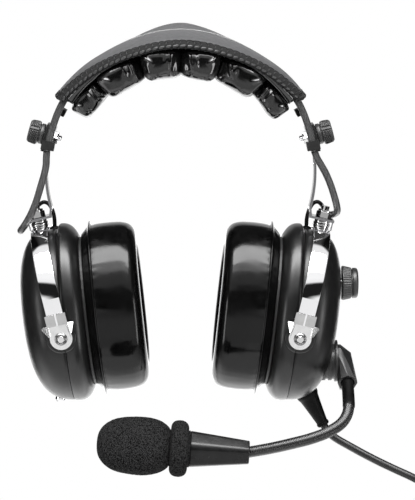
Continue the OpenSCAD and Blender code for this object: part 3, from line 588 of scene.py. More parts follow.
class Finish(Graph):
    """A Principled material, and what varies over its surface."""

    def __init__(self, name, color, roughness, metallic=0.0, specular=0.5, sheen=0.0):
        self.material = bpy.data.materials.new(name)
        super().__init__(self.material)
        self.inputs = self.nodes["Principled BSDF"].inputs
        self.inputs["Base Color"].default_value = rgba(color)
        self.inputs["Roughness"].default_value = roughness
        self.inputs["Metallic"].default_value = metallic
        self.inputs["Specular IOR Level"].default_value = specular
        self.inputs["Sheen Weight"].default_value = sheen
        self.place = self.add("TexCoord").outputs["Object"]
        self.normal = None

    def noise(self, size_mm, detail, stretch=None, rough=0.55):
        place = self.place
        if stretch:
            place = self.add("Mapping", {"Vector": place, "Scale": stretch}).outputs["Vector"]
        return self.add("TexNoise", {"Vector": place, "Scale": 1 / (size_mm * MM), "Detail": detail,
                                     "Roughness": rough}).outputs["Fac"]

    def cells(self, size_mm, feature="SMOOTH_F1"):
        node = self.add("TexVoronoi", {"Vector": self.place, "Scale": 1 / (size_mm * MM)})
        node.feature = feature
        return node.outputs["Distance"]

    def color_by(self, value, dark, light, low=0.3, high=0.7):
        self.feed(self.inputs["Base Color"], self.ramp(value, ((low, dark), (high, light))))

    def rough_by(self, value, low, high):
        self.feed(self.inputs["Roughness"], self.spread(value, 0.3, 0.7, low, high))

    def bump(self, value, depth_mm, strength):
        """Adds a bump on top of those before it."""
        node = self.add("Bump", {"Distance": depth_mm * MM, "Strength": strength, "Height": value})
        if self.normal:
            self.feed(node.inputs["Normal"], self.normal)
        self.normal = node.outputs["Normal"]
        self.feed(self.inputs["Normal"], self.normal)


# ---- Materials ----
def metal(name, color, low, high, wave_mm=0.0):
    """Plated metal: soft smudges in its polish, and a faint roll in its surface if asked for."""
    made = Finish(name, color, low, metallic=1.0)
    made.rough_by(made.noise(9, 3), low, high)
    made.bump(made.noise(0.35, 2), 0.002, 0.5)
    if wave_mm:
        made.bump(made.noise(14, 1), wave_mm, 0.6)
    return made.material


def plates():
    """Nickel-plated plates whose crimped tabs, outside the stirrup, are painted darker as shade."""
    made = Finish("plate_nickel", 0.96, 0.2, metallic=1.0)
    depth = made.calc("ABSOLUTE", made.add("SeparateXYZ", {0: made.place}).outputs["Y"])
    # Beyond TAB_Y the nickel's colour drops from 0.96 to 0.68: painted shade on the tabs.
    made.color_by(made.spread(depth, (TAB_Y - 0.15) * MM, (TAB_Y + 0.15) * MM), 0.96, 0.68, 0, 1)
    made.rough_by(made.noise(5, 3), 0.16, 0.26)
    made.bump(made.noise(0.5, 3), 0.01, 0.5)
    return made.material


def plastic(name, dark, light, low, high, grain_mm, grain_depth, specular=0.5):
    """Moulded plastic with a fine spark-eroded grain."""
    made = Finish(name, dark, low, specular=specular)
    made.color_by(made.noise(5, 4), dark, light)
    made.rough_by(made.noise(7, 3), low, high)
    made.bump(made.noise(grain_mm, 2), grain_depth, 0.6)
    return made.material


def vinyl(name, low, high, light, specular):
    """Glossy black vinyl: fine leather grain under soft hand-sewn unevenness."""
    made = Finish(name, light, low, specular=specular)
    made.color_by(made.noise(12, 3), light * 0.5, light)
    made.rough_by(made.noise(6, 4), low, high)
    made.bump(made.noise(13, 1), 0.16, 0.4)
    made.bump(made.cells(0.9), 0.012, 0.35)
    return made.material


def hide():
    """Grey leather: pebbled grain and cloudy colour."""
    made = Finish("grey_leather", 0.2, 0.5, specular=0.4)
    made.color_by(made.noise(1.1, 5, rough=0.7), (0.125, 0.125, 0.128), (0.18, 0.18, 0.184), 0.2, 0.8)
    made.rough_by(made.noise(3, 4), 0.42, 0.6)
    made.bump(made.cells(0.75), 0.05, 0.5)
    made.bump(made.noise(0.25, 3), 0.02, 0.4)
    return made.material


def edging(name, dark, light):
    """Thin leather, smoother and glossier than the cover. Its colour paints shade where it is
    darker than the cover's, and a highlight where it is lighter.
    """
    made = Finish(name, dark, 0.3)
    made.color_by(made.noise(1.5, 3), dark, light)
    made.rough_by(made.noise(2, 3), 0.26, 0.4)
    made.bump(made.cells(0.6), 0.03, 0.5)
    return made.material


def cloth(name, dark, light, thread_mm, depth):
    """Close-woven cloth."""
    made = Finish(name, dark, 0.85, specular=0.2, sheen=0.15)
    made.color_by(made.noise(thread_mm, 3), dark, light)
    made.bump(made.cells(thread_mm), depth, 0.7)
    return made.material


def foam(name, dark, light, cell_mm, depth):
    """Open-cell foam: pits between strands that catch the light."""
    made = Finish(name, dark, 0.95, specular=0.06)
    made.color_by(made.cells(cell_mm, "F1"), light, dark, 0.15, 0.75)
    made.bump(made.cells(cell_mm), depth, 0.8)
    made.bump(made.noise(cell_mm * 0.4, 3), depth * 0.4, 0.6)
    return made.material


def sleeve():
    """Grey cable sleeve with fine streaks along it."""
    made = Finish("cable_sleeve", 0.06, 0.4)
    made.color_by(made.noise(0.9, 4, (1, 1, 0.12)), 0.045, 0.1, 0.25, 0.75)
    made.rough_by(made.noise(2, 3), 0.28, 0.42)
    made.bump(made.noise(0.5, 3, (1, 1, 0.15)), 0.03, 0.6)
    return made.material


CHROME = metal("chrome", (0.93, 0.93, 0.94), 0.035, 0.08, 0.012)
SATIN = metal("satin_nickel", 0.86, 0.14, 0.24)
# The rolled ring round each stud: the same steel as the stud, painted dark as shade.
RIVET_PAINTED_SHADE = metal("ring_steel_painted_shade", 0.2, 0.2, 0.3)
ZINC = metal("zinc_plate", 0.6, 0.08, 0.14)
STRAP_STEEL = metal("strap_steel", (0.34, 0.34, 0.35), 0.08, 0.14)
DRIVER = metal("driver_grey", (0.3, 0.3, 0.31), 0.35, 0.5)
CAPSULE = metal("capsule_grey", (0.35, 0.35, 0.36), 0.3, 0.45)
BRASS = metal("plated_brass", (0.86, 0.68, 0.36), 0.12, 0.22)
PLATES = plates()
CLIP = plastic("clip_plastic", 0.008, 0.014, 0.3, 0.42, 0.3, 0.01)
DOME = plastic("dome_plastic", 0.008, 0.012, 0.3, 0.38, 0.4, 0.004, 0.4)
INNER_PLASTIC = plastic("inner_plastic", 0.008, 0.012, 0.28, 0.34, 0.4, 0.004, 0.45)
BAFFLE = plastic("baffle_plastic", 0.008, 0.012, 0.5, 0.6, 0.5, 0.03)
KNOB = plastic("knob_plastic", 0.035, 0.055, 0.4, 0.52, 0.25, 0.02)
VOLUME = plastic("volume_plastic", 0.03, 0.045, 0.34, 0.44, 0.25, 0.01)
BLOCK = plastic("boom_plastic", 0.012, 0.02, 0.38, 0.48, 0.3, 0.02)
MIC = plastic("mic_plastic", 0.01, 0.015, 0.22, 0.3, 0.3, 0.004, 0.3)
RUBBER = plastic("moulded_rubber", 0.003, 0.006, 0.42, 0.55, 0.4, 0.01, 0.12)
JACKET = plastic("cord_jacket", 0.01, 0.015, 0.34, 0.46, 0.6, 0.015)
NECK = plastic("gooseneck_coating", 0.012, 0.02, 0.22, 0.32, 0.5, 0.008, 0.6)
VINYL = vinyl("cushion_vinyl", 0.11, 0.21, 0.005, 0.27)
PILLOW_VINYL = vinyl("pillow_vinyl", 0.07, 0.13, 0.008, 0.62)
HIDE = hide()
# The puffs of hide along the binding: darker than the cover, as painted shade.
SHADED_HIDE = edging("hide_painted_shade", 0.04, 0.085)
# Lighter than the cover's hide: a painted highlight along the crease at the crown.
CREASE_HIGHLIGHT = edging("crease_painted_highlight", 0.2, 0.28)
# Dark tape round the cover's edge; its strip on the cover's face is also painted shade.
TAPE_AND_SHADE = cloth("edge_tape_and_shade", 0.008, 0.016, 0.6, 0.05)
LINING = cloth("black_lining", 0.008, 0.016, 0.5, 0.06)
THREAD = cloth("black_thread", 0.006, 0.012, 0.25, 0.03)
TIE = cloth("hook_tie", 0.012, 0.03, 0.7, 0.12)
WINDSCREEN = foam("windscreen_foam", 0.002, 0.058, 0.66, 0.34)
EAR_FOAM = foam("ear_foam", 0.01, 0.03, 1.1, 0.3)
SLEEVE = sleeve()


# ---- Camera, light, floor ----
def add_camera():
    data = bpy.data.cameras.new("camera")
    data.lens = data.sensor_width * FOCAL_PX / PHOTO_LONG_SIDE
    data.shift_x = MIDDLE_SHIFT_PX / PHOTO_LONG_SIDE
    data.clip_end = 50
    camera = link_object("camera", data)
    rise = math.radians(CAMERA_RISE)
    back, up = CAMERA_DISTANCE * math.cos(rise), CAMERA_DISTANCE * math.sin(rise)
    camera.location = Vector((0, -back, AIM_Z + up)) * MM
    camera.rotation_euler = (math.radians(90) - rise, 0, 0)
    bpy.context.scene.camera = camera


def softbox(name, azimuth, rise, distance, width, height, radiance, lights):
    """A rectangular lamp that either lights surfaces or shines in their reflections. Azimuth 0 is
    in front, 90 at +X."""
    data = bpy.data.lights.new(name, "AREA")
    data.shape = "RECTANGLE"
    data.size = width
    data.size_y = height
    data.energy = radiance * math.pi * width * height
    lamp = link_object(name, data)
    a, e = math.radians(azimuth), math.radians(rise)
    way = Vector((math.sin(a) * math.cos(e), -math.cos(a) * math.cos(e), math.sin(e)))
    lamp.location = Vector(LAMP_AIM) * MM + way * distance
    lamp.rotation_euler = way.to_track_quat("Z", "Y").to_euler()
    lamp.visible_camera = False
    lamp.visible_diffuse = lights
    lamp.visible_glossy = not lights


def add_world():
    """White to the camera, grey to matt surfaces, and to metal and gloss the studio of STUDIO, which
    darkens toward its sides, sooner behind the object than in front, and is bright low down."""
    world = bpy.data.worlds.new("studio")
    bpy.context.scene.world = world
    graph = Graph(world)
    graph.nodes.clear()
    way = graph.add("SeparateXYZ", {0: graph.add("TexCoord").outputs["Generated"]}).outputs
    angle = graph.calc("ARCTAN2", way["Z"], graph.calc("MULTIPLY", way["Y"], -1))
    stops = [((degrees + 180) / 360, value) for degrees, value in STUDIO]
    color = graph.ramp(graph.spread(angle, -math.pi, math.pi), stops)
    behind = graph.spread(way["Y"], -0.1, 0.2, 0, 0.45)
    aside = graph.calc("ADD", graph.calc("ABSOLUTE", way["X"]), behind)
    across = graph.spread(aside, 0.72, 0.84, 1, 0.05)
    below = graph.spread(way["Z"], -0.4, -0.8, 0, 2.6)
    gloss = graph.add("Background", {"Color": color, "Strength": graph.calc("MAXIMUM", across, below)})
    fill = graph.add("Background", {"Color": rgba((0.2, 0.2, 0.21))})
    white = graph.add("Background", {"Color": rgba(1)})
    glossy = graph.add("LightPath").outputs["Is Glossy Ray"]
    lit = graph.mixed(glossy, fill.outputs[0], gloss.outputs[0])
    graph.add("OutputWorld", {"Surface": graph.mixed(graph.seen(), lit, white.outputs[0])})


def add_floor():
    """A pale floor that keeps the shadow near the object and turns white further out."""
    corners = [(x * FLOOR_HALF, y * FLOOR_HALF, FLOOR_Z) for x, y in ((-1, -1), (1, -1), (1, 1), (-1, 1))]
    made = Finish("pale_floor", 0.88, 0.8, specular=0.1)
    distance = made.add("VectorMath", {0: made.place})
    distance.operation = "LENGTH"
    far = made.spread(distance.outputs["Value"], 0.42, 0.8, kind="SMOOTHSTEP")
    shader = made.nodes["Principled BSDF"].outputs[0]
    glow = made.add("Emission").outputs[0]
    shown = made.mixed(made.calc("MULTIPLY", far, made.seen()), shader, glow)
    made.feed(made.nodes["Material Output"].inputs["Surface"], shown)
    floor = coated(add_mesh("floor", corners, [(0, 1, 2, 3)]), made.material)
    floor.visible_glossy = False
    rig.stage(floor)


# ---- Cords ----
def coil_turn(f):
    """A point of the coil f turns along it: in on one layer, up, and out on the next."""
    half = COIL_LOOPS / 2
    r = COIL_OUT - COIL_PITCH * (f if f <= half else COIL_LOOPS - f)
    rise = (1 - math.cos(math.pi * clamped(2 * (f - half + 0.25)))) / 2
    a = -2 * math.pi * f
    return Vector((COIL_X + r * math.cos(a), COIL_PITCH * rise, COIL_Z + r * math.sin(a)))


def add_cord(name, points, diameter, *nodes):
    curve = bpy.data.curves.new(name, "CURVE")
    curve.dimensions = "3D"
    curve.bevel_depth = diameter / 2 * MM
    curve.bevel_resolution = 6
    curve.use_fill_caps = True
    spline = curve.splines.new("POLY")
    spline.points.add(len(points) - 1)
    spline.use_smooth = True
    for point, place in zip(spline.points, points):
        point.co = (*(place * MM), 1)
    return dress(coated(link_object(name, curve), JACKET), "right_cup", "cord_jacket", *nodes)


def declare_cord(cord, points, diameter, far_end, pieces):
    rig.cord(cord, exit=points[0] * MM, length=round(route_length(points) * MM, 3),
            diameter=diameter * MM, far_end=far_end, stiffness="medium", lay="hanging",
            with_pieces=pieces)


def add_cords():
    coil = [coil_turn(i / COIL_STEPS) for i in range(1, COIL_LOOPS * COIL_STEPS)]
    points = smooth_route(CORD_ROUTE, 4) + coil + smooth_route(TAIL_ROUTE, 4)
    cord = add_cord("main_cord_line", points, CORD_D, "main_cord", "cord_coil")
    declare_cord(cord, points, CORD_D, "fitting", [add_coil_tie(), add_splitter()])
    plugs = {"headphone_lead": (-1, add_plug("headphone_plug", -1, 3.175, 23, 7, 2)),
             "microphone_lead": (1, add_plug("microphone_plug", 1, 2.6, 22, 6.4, 3))}
    for name, (side, plug) in plugs.items():
        route = []
        for f in steps(0, 1, 32):
            x = PLUG_X + side * (LEAD_GAP + (PLUG_GAP - LEAD_GAP) * (1 - math.cos(math.pi * f)) / 2)
            route.append(Vector((x, PLUG_Y, SPLITTER_Z - SPLITTER_LEN - LEAD_LEN * f)))
        declare_cord(add_cord(name, route, LEAD_D, "plug_leads"), route, LEAD_D, "plug", [plug])


def add_coil_tie():
    """A strap of hook tape round the coil's turns, with its end lapped over."""
    inner, outer = COIL_X - 21.3, COIL_X - 39.2
    low, high = -2.8, 8.4
    thick, half, corner, lap = 1.1, 6.5, 2.2, 0.8
    section = ((0, -half), (thick, 0.3 - half), (thick, half - 0.3), (0, half))
    rings = []
    for x, y, start in ((inner - corner, high - corner, 0), (outer + corner, high - corner, 90),
                        (outer + corner, low + corner, 180), (inner - corner, low + corner, 270)):
        for a in steps(math.radians(start), math.radians(start + 90), 8):
            rings.append([(x + (corner + out) * math.cos(a), y + (corner + out) * math.sin(a), COIL_Z + z)
                          for out, z in section])
    tie = loft("coil_tie", rings, wrap=True)
    rings = []
    for t in steps(0, 1, 16):
        x = outer - thick - lap + 0.15 * math.cos(9 * t)
        rings.append([(x + out, low + 1.5 + 8 * t, COIL_Z + z * (half - lap))
                      for out, z in ((0, -1), (lap, -1), (lap, 1), (0, 1))])
    tie = joined("coil_tie", [tie, loft("tie_end", rings)])
    return dress(coated(tie, TIE), "right_cup", "cord_jacket")


def add_splitter():
    """Moulded Y of the cord: round above, a flat oval with grip ridges below."""
    rings = []
    for f in steps(0, 1, 52):
        opened = 1 - (1 - min(f / 0.55, 1)) ** 2
        grow = 0.35 * abs(math.sin((f - 0.5) / 0.4 * math.pi * 5)) if 0.5 < f < 0.9 else 0
        if f < 0.04 or f > 0.97:
            grow = -0.6
        half_x, half_y = 3.5 + 4.1 * opened ** 1.4 + grow, 3.5 + 0.5 * opened + grow
        rings.append([(PLUG_X + half_x * signed_pow(math.cos(a), 0.85),
                       PLUG_Y + half_y * signed_pow(math.sin(a), 0.85), SPLITTER_Z - SPLITTER_LEN * f)
                      for a in circle(40)])
    return dress(coated(loft("splitter", rings), RUBBER), "right_cup", "moulded_rubber", "cord_splitter")


def add_plug(name, side, r, shaft, barrel_r, poles):
    """Strain relief and ribbed grip of moulded plastic, and a brass shaft with dark insulating rings."""
    place = Matrix.Translation((PLUG_X + side * PLUG_GAP, PLUG_Y, SPLITTER_Z - SPLITTER_LEN - LEAD_LEN))
    grip = [(0, 0), (2.5, 0), (2.7, -0.5)]
    for i in range(6):
        z, groove, rib = -0.9 - i * 1.35, 2.6 + 0.14 * i, 2.95 + 0.14 * i
        grip += [(groove, z), (rib, z - 0.35), (rib, z - 0.85), (groove, z - 1.2)]
    grip += [(3.4, -9.2), (barrel_r - 0.9, -9.5), (barrel_r - 0.3, -10), (barrel_r, -11)]
    grip += [(barrel_r, z) for z in steps(-12.4, -32.4, 12)]
    grip += [(barrel_r, -33), (barrel_r, -33.8), (barrel_r - 0.5, -34.7), (barrel_r - 1, -35), (0, -35)]

    def ribs(a, z):
        return 1 - (0.035 * abs(math.sin(a * 14)) if -32 < z < -12.5 else 0)
    tip = -35 - shaft
    pin = [(0, -34.9), (r, -34.9), (r, tip), (r * 0.62, tip - 0.6), (r * 0.6, tip - 1.6),
           (r * 0.88, tip - 2.8), (r * 0.93, tip - 3.8), (r * 0.8, tip - 5), (r * 0.45, tip - 6.2),
           (0, tip - 6.6)]
    parts = [coated(revolve("grip", grip, place, 112, ribs), RUBBER),
             coated(revolve("shaft", pin, place, 64), BRASS)]
    for k in range(poles - 1):
        z = tip + 0.2 + k * 7.5
        band = [(0, z), (r + 0.03, z), (r + 0.03, z + 0.9), (0, z + 0.9)]
        parts.append(coated(revolve("insulator", band, place, 64), JACKET))
    return dress(joined(name + "_dressed", parts), "right_cup", "plug_parts", name)


# ---- Cups ----
def oval_ring(x, half_y, half_z, centre_z, count=144):
    return [(x, half_y * signed_pow(math.cos(a), 2 / OVAL),
             centre_z + half_z * signed_pow(math.sin(a), 2 / OVAL)) for a in circle(count)]


def dome_ring(f, inset):
    """f runs from 0 at the seam to 1 at the top of the dome."""
    a = math.radians(90 * f)
    t = math.sin(a) ** (2 / SHELL_POWER)
    k = max(math.cos(a), 0) ** (2 / SHELL_POWER)
    return oval_ring(SEAM_X + (SHELL_DEPTH - inset) * t, (SHELL_HALF_W - inset) * k,
                     (SHELL_HALF_H - inset) * k, SHELL_MID + DOME_RISE * t)


def inner_ring(x, inset):
    if x > INNER_CROWN_X:
        f = ((x - INNER_CROWN_X) / (SEAM_X - INNER_CROWN_X)) ** 2
        return oval_ring(x, INNER_HALF_W - inset + (SHELL_HALF_W - INNER_HALF_W) * f,
                         INNER_HALF_H - inset + (SHELL_HALF_H - INNER_HALF_H) * f,
                         INNER_MID + (SHELL_MID - INNER_MID) * f)
    t = (INNER_CROWN_X - x) / INNER_DEPTH
    k = (1 - t ** INNER_POWER) ** (1 / INNER_POWER)
    return oval_ring(x, (INNER_HALF_W - inset) * k, (INNER_HALF_H - inset) * k, INNER_MID - 0.6 * t)


def add_boss(side, way, outward):
    """Half of the round boss under a pivot, split at the seam between the shells: the outer half
    where outward is 1, the inner one where it is -1."""
    matrix = cup_matrix(side)
    profile = [(0, 33), (BOSS_R, 33), (BOSS_R, BOSS_Y - 0.9), (BOSS_R - 0.25, BOSS_Y - 0.35),
               (BOSS_R - 0.9, BOSS_Y), (4.2, BOSS_Y), (4, BOSS_Y - 0.4), (0, BOSS_Y - 0.4)]
    boss = revolve("boss", profile, matrix @ way)
    return keep_side(boss, (SEAM_X + outward * SEAM_GAP, 0, 0), (-outward, 0, 0), matrix)


def add_shell(side, name, rings, wrap, outward, material, node):
    parts = [loft(name, rings, cup_matrix(side), wrap)]
    parts += [add_boss(side, way, outward) for way in FRONT_AND_BACK]
    shell = coated(joined(f"{side}_{name}", parts), material)
    dress(shell, side + "_cup", "shell_plastic", f"{side}_{node}")


def add_shells(side):
    edge = [(x + 0.25, y * 0.9985, SHELL_MID + (z - SHELL_MID) * 0.9985) for x, y, z in dome_ring(0, 0)]
    rings = [dome_ring(f, 0) for f in steps(1, 0, 44)[:-1]]
    rings += [edge, dome_ring(0, SHELL_LIP), dome_ring(0, SHELL_WALL)]
    rings += [dome_ring(f, SHELL_WALL) for f in steps(0, 1, 44)[1:]]
    add_shell(side, "dome", rings, False, 1, DOME, "outer_shell")

    start = SEAM_X - 0.25
    places = [start + (INNER_RIM_X - start) * f ** 1.15 for f in steps(0, 1, 40)]
    rings = [inner_ring(SEAM_X, SHELL_LIP)] + [inner_ring(x, 0) for x in places]
    rings += [inner_ring(x, SHELL_WALL) for x in reversed(places)] + [inner_ring(SEAM_X, SHELL_WALL)]
    add_shell(side, "cup_rim", rings, True, -1, INNER_PLASTIC, "inner_shell")


def cushion_profile():
    """(x, half height, half width, how soft) round the ring's section, from its rear edge over the
    sewn fin, the crowned side and the rounded face to the hidden inside."""
    face = CUSHION_FACE
    cone = [(-15.9 - 3.7 * f, 3.5 * f - 4.4, 3.5 * f - 4.4, 0.5) for f in steps(0, 1, 6)]
    fin = [(-20.3, 0.6, 0.3, 0.3), (-20.75, 2.1, 1.35, 0.2), (-20.9, 2.3, 1.5, 0.2),
           (-21.1, 2.3, 1.5, 0.2), (-21.25, 2.1, 1.35, 0.2), (-21.5, 0.4, 0.2, 0.4)]
    spine = [(-22, -0.35, -0.35), (-25, 0.25, 0.2), (-30, 0.6, 0.5), (-35.5, 0.5, 0.4)]
    spine += [(x, -inset, -inset) for x, inset in
              ((face + 8, 0), (face + 3.8, 1.6), (face + 1.3, 4.6), (face, 9), (face + 0.5, 13.4),
               (face + 3.4, 16.4), (face + 10, 17.6), (-28, 17.4), (-23, 17.2), (-18.7, 16.6))]
    soft = [(*p, 1) for p in smooth_route(spine, 6)]
    back = [(x, -inset, -inset, 0) for x, inset in
            ((-18.7, 12), (-18.7, 7.2), (-17, 7.2), (-15.9, 7.2), (-15.9, 5))]
    return [(x, CUSHION_H + high, CUSHION_W + wide, softness)
            for x, high, wide, softness in cone + fin + soft + back]


def add_ear_cushion(side):
    """A sewn vinyl ring: puckered where it meets its fin, rolled unevenly over the face."""
    seed = 3.0 if side == "left" else 11.0
    count = 288
    rings = []
    for x, half_z, half_y, softness in cushion_profile():
        ring = []
        for i, (_, y, z) in enumerate(oval_ring(x, half_y, half_z, CUSHION_MID, count)):
            out = Vector((0, y / half_y ** 2, (z - CUSHION_MID) / half_z ** 2)).normalized()
            slow = noise_at(x * 0.045, y * 0.035, z * 0.035 + seed)
            fold = noise_at(x * 0.05 + seed, y * 0.3, z * 0.3)
            pucker = math.sin(i * 2 * math.pi * 52 / count + 3 * slow) * math.exp(-abs(x + 21.5) / 2.6)
            shift = softness * (0.35 * slow + 0.06 * fold) + 0.12 * pucker * min(softness, 0.6)
            if x > -19.8:
                shift += 0.35 * fold * min(1, abs(x + 15.9) / 2)
            ring.append(Vector((x, y, z)) + out * shift)
        rings.append(ring)
    cushion = coated(loft(side + "_ear_ring", rings, cup_matrix(side), wrap=True), VINYL)
    dress(cushion, side + "_cup", "cushion_vinyl", side + "_ear_cushion")
    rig.padded(cushion, 0.8)


def add_ear_foam(side):
    """The open foam disc over the speaker, a little domed."""
    half_z, half_y = CUSHION_H - EAR_FOAM_INSET, CUSHION_W - EAR_FOAM_INSET
    face = -21.7

    def foam_ring(x, k):
        return oval_ring(x, half_y * k, half_z * k, CUSHION_MID, 96)
    rings = [foam_ring(x, k) for x, k in
             ((-18.85, 0.02), (-18.85, 0.97), (-19.1, 1.0), (-21.2, 1.0), (face, 0.98))]
    for i in range(1, 25):
        k = 0.98 * (1 - i / 24.5)
        dome = face - 0.55 * (1 - k * k)
        rings.append([(dome - 0.12 * noise_at(0, y * 0.5, z * 0.5), y, z) for _, y, z in foam_ring(0, k)])
    disc = coated(loft(side + "_foam_disc", rings, cup_matrix(side)), EAR_FOAM)
    dress(disc, side + "_cup", "ear_foam", side + "_ear_foam")
    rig.padded(disc, 0.9)


# ---- Head pad: t is the angle from the crown, v runs from -1 at the front to 1 at the back ----
def pad_half(t):
    return PAD_END_W + (PAD_HALF_W - PAD_END_W) * (1 - (abs(t) / PAD_END_A) ** 1.6)


def pad_radius(t, v):
    top = table_value(PAD_TOP, abs(t))
    if v < -0.1:
        w = (-0.1 - v) / 0.9
        edge = table_value(PAD_FRONT, abs(t))
    else:
        w = (v + 0.1) / 1.1
        edge = table_value(PAD_REAR, abs(t))
    turn_down = 2.8 * w ** 12 if v < 0 else 7 * w ** 14
    crown = 0.9 * bump_at(w, 0.72, 0.2) if v > 0 else 0
    return top + (edge - top) * w ** 2 - turn_down + crown * (1 - min(t / 30, 1))


def pad_place(t, v, depth=0.0):
    """The radius is averaged over a few degrees, so that the tables' corners don't show."""
    r = sum(pad_radius(min(abs(t + d), PAD_END_A), v) for d in (-3, -1.5, 0, 1.5, 3)) / 5
    return arc_place(math.radians(t), r - depth, v * pad_half(t))


def add_pad_cover():
    """The grey hide over the straps, with a welt along its crown and small dents along the seam."""
    rows = steps(-1, -0.94, 8)[:-1] + steps(-0.94, 0.94, 62) + steps(0.94, 1, 8)[1:]
    rings = []
    for t in steps(-PAD_END_A, PAD_END_A, 190):
        top, under = [], []
        for v in rows:
            welt = 0.3 * bump_at(v, -0.125, 0.03) - 0.5 * bump_at(v, -0.07, 0.022)
            seam = -0.3 * bump_at(abs(v), 0.93, 0.02)
            slow = noise_at(t * 0.07, v * 1.6, 2)
            creases = noise_at(t * 0.35, v * 5, 7) * abs(v) ** 3
            top.append(pad_place(t, v, -welt - seam - 0.3 * slow - 0.14 * creases))
            under.append(pad_place(t, v * 0.985, PAD_T))
        rings.append(top + under[::-1])
    cover = coated(loft("pad_cover", rings), HIDE)
    dress(cover, "headband", "pad_hide", "head_pad_cover")
    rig.padded(cover, 0.3)


def pad_edge():
    """The closed line round the cover's edge, as (t, v)."""
    return ([(t, -1) for t in steps(-PAD_END_A, PAD_END_A, 120)]
            + [(PAD_END_A, v) for v in steps(-1, 1, 24)[1:-1]]
            + [(t, 1) for t in steps(PAD_END_A, -PAD_END_A, 120)]
            + [(-PAD_END_A, v) for v in steps(1, -1, 24)[1:]])


def edge_frames(pitch):
    """(place, along, outward, up) at an even pitch round the cover's edge."""
    line = even_route([pad_place(t, v * 0.995, PAD_T / 2) for t, v in pad_edge()], pitch)
    count = len(line) - 1
    end = math.radians(PAD_END_A)
    frames = []
    for i in range(count):
        q = line[i]
        way = (line[(i + 1) % count] - line[i - 1]).normalized()
        outward = Vector((0, 1 if q.y > 0 else -1, 0))
        if abs(abs(math.degrees(math.atan2(q.x, q.z - BAND_Z))) - PAD_END_A) < PAD_END_ZONE:
            outward = Vector((math.copysign(math.cos(end), q.x), 0, -math.sin(end)))
        up = way.cross(outward).normalized()
        if up.dot(Vector((q.x, 0, q.z - BAND_Z))) < 0:
            up = -up
        frames.append((q, way, (outward - way * outward.dot(way)).normalized(), up))
    return frames


def cover_above(q, inset, lift):
    """The place on the cover's face that far in from the edge beside q, lifted off it."""
    t = math.degrees(math.atan2(q.x, q.z - BAND_Z))
    v = q.y / pad_half(t)
    if abs(t) > PAD_END_A - PAD_END_ZONE:
        return pad_place(math.copysign(PAD_END_A - inset * 0.68, t), v * 0.96, -lift)
    return pad_place(t, v - math.copysign(inset / pad_half(t), v), -lift)


def add_edge_tape(frames):
    """The dark tape turned over the cover's edge; its strip laid on the cover's face is painted shade too."""
    rings = []
    for q, _, outward, up in frames:
        roll = [q + outward * (1.25 * math.cos(a)) + up * (1.5 * math.sin(a))
                for a in steps(math.radians(-120), math.radians(40), 9)]
        # This strip on the cover's face, up to 2.7 mm in, is painted shade as well as tape.
        face = [cover_above(q, inset, 0.22) for inset in (0.8, 1.4, 2.0, 2.7)]
        rings.append(roll + face + [cover_above(q, inset, -0.5) for inset in (2.8, 1.2)])
    return coated(loft("edge_tape_and_shade", rings, wrap=True), TAPE_AND_SHADE)


def add_puff(q, way, outward, up, rng):
    """A puff of hide between two stitches, leaning a little, coloured darker than the cover as painted shade."""
    lean = 0.18 + rng.uniform(-0.06, 0.06)
    half_len, half_high, half_deep = 1.72 + rng.uniform(-0.12, 0.12), 0.75, 0.5
    middle = q + outward * 1.1 + up * 0.1
    long_way, high_way = (way + up * lean).normalized(), (up - way * lean).normalized()
    rings = []
    for s in steps(math.radians(-90), math.radians(90), 8):
        k = max(math.cos(s), 0.02) ** 0.6
        centre = middle + long_way * (half_len * math.sin(s))
        rings.append([centre + high_way * (half_high * k * math.sin(a))
                      + outward * (half_deep * k * math.cos(a)) for a in circle(12)])
    return coated(loft("puff", rings), SHADED_HIDE)


def add_pad_binding():
    """Dark tape round the cover's edge, its strip on the cover's face also painted shade, grey hide
    puffed between its whip stitches and painted darker as shade, and a row of stitches on the
    cover's front above it."""
    frames = edge_frames(0.36)
    count = len(frames)
    stitches = round(count / STITCH_FRAMES)
    puffs, threads = [add_edge_tape(frames)], []
    rng = random.Random(5)
    for k in range(stitches):
        puffs.append(add_puff(*frames[round((k + 0.5) * count / stitches) % count], rng))
        at = round(k * count / stitches)
        q, way, outward, up = frames[at % count]
        skew = 0.75 + rng.uniform(-0.15, 0.15)
        loop = [cover_above(q, 1.3, 0.25) + way * skew]
        for s in steps(0, 1, 10):
            a = math.radians(60 - 190 * s)
            loop.append(q + outward * (1.5 * math.cos(a)) + up * (1.55 * math.sin(a))
                        + way * (skew * (0.7 - s / 0.6)))
        threads.append(tube("stitch", loop, 0.32, 8))
        if q.y > 0:
            continue
        dash = []
        reach = rng.uniform(4.2, 5.6)
        for j in range(7):
            beside = frames[(at + 5 + round(reach * (j / 3 - 1))) % count][0]
            inset = 2.65 + rng.uniform(-0.08, 0.08)
            dash.append(cover_above(beside, inset, 0.1 + 0.3 * math.sin(math.pi * j / 6)))
        threads.append(tube("dash", dash, 0.27, 8))
        cross = [cover_above(frames[(at + step) % count][0], inset, 0.3)
                 for step, inset in ((-3, 2.5), (0, 1.9), (rng.randint(2, 5), 0.9))]
        threads.append(tube("cross", cross, 0.18, 6))
    dress(coated(joined("edge_stitches", threads), THREAD), "headband", "pad_hide")
    dress(joined("edge_binding", puffs), "headband", "pad_hide", "head_pad_cover")


def add_crown_highlight():
    """A lighter hide tube along the cover's crown, whose colour is a painted highlight on the crease
    there; it sinks into the cover at both ends.
    """
    end = 31
    points = [pad_place(t, -0.125, 0.9 * (abs(t) / end) ** 4 - 0.15) for t in steps(-end, end, 120)]
    dress(coated(tube("crown_painted_highlight", points, 0.62, 14), CREASE_HIGHLIGHT), "headband", "pad_hide")


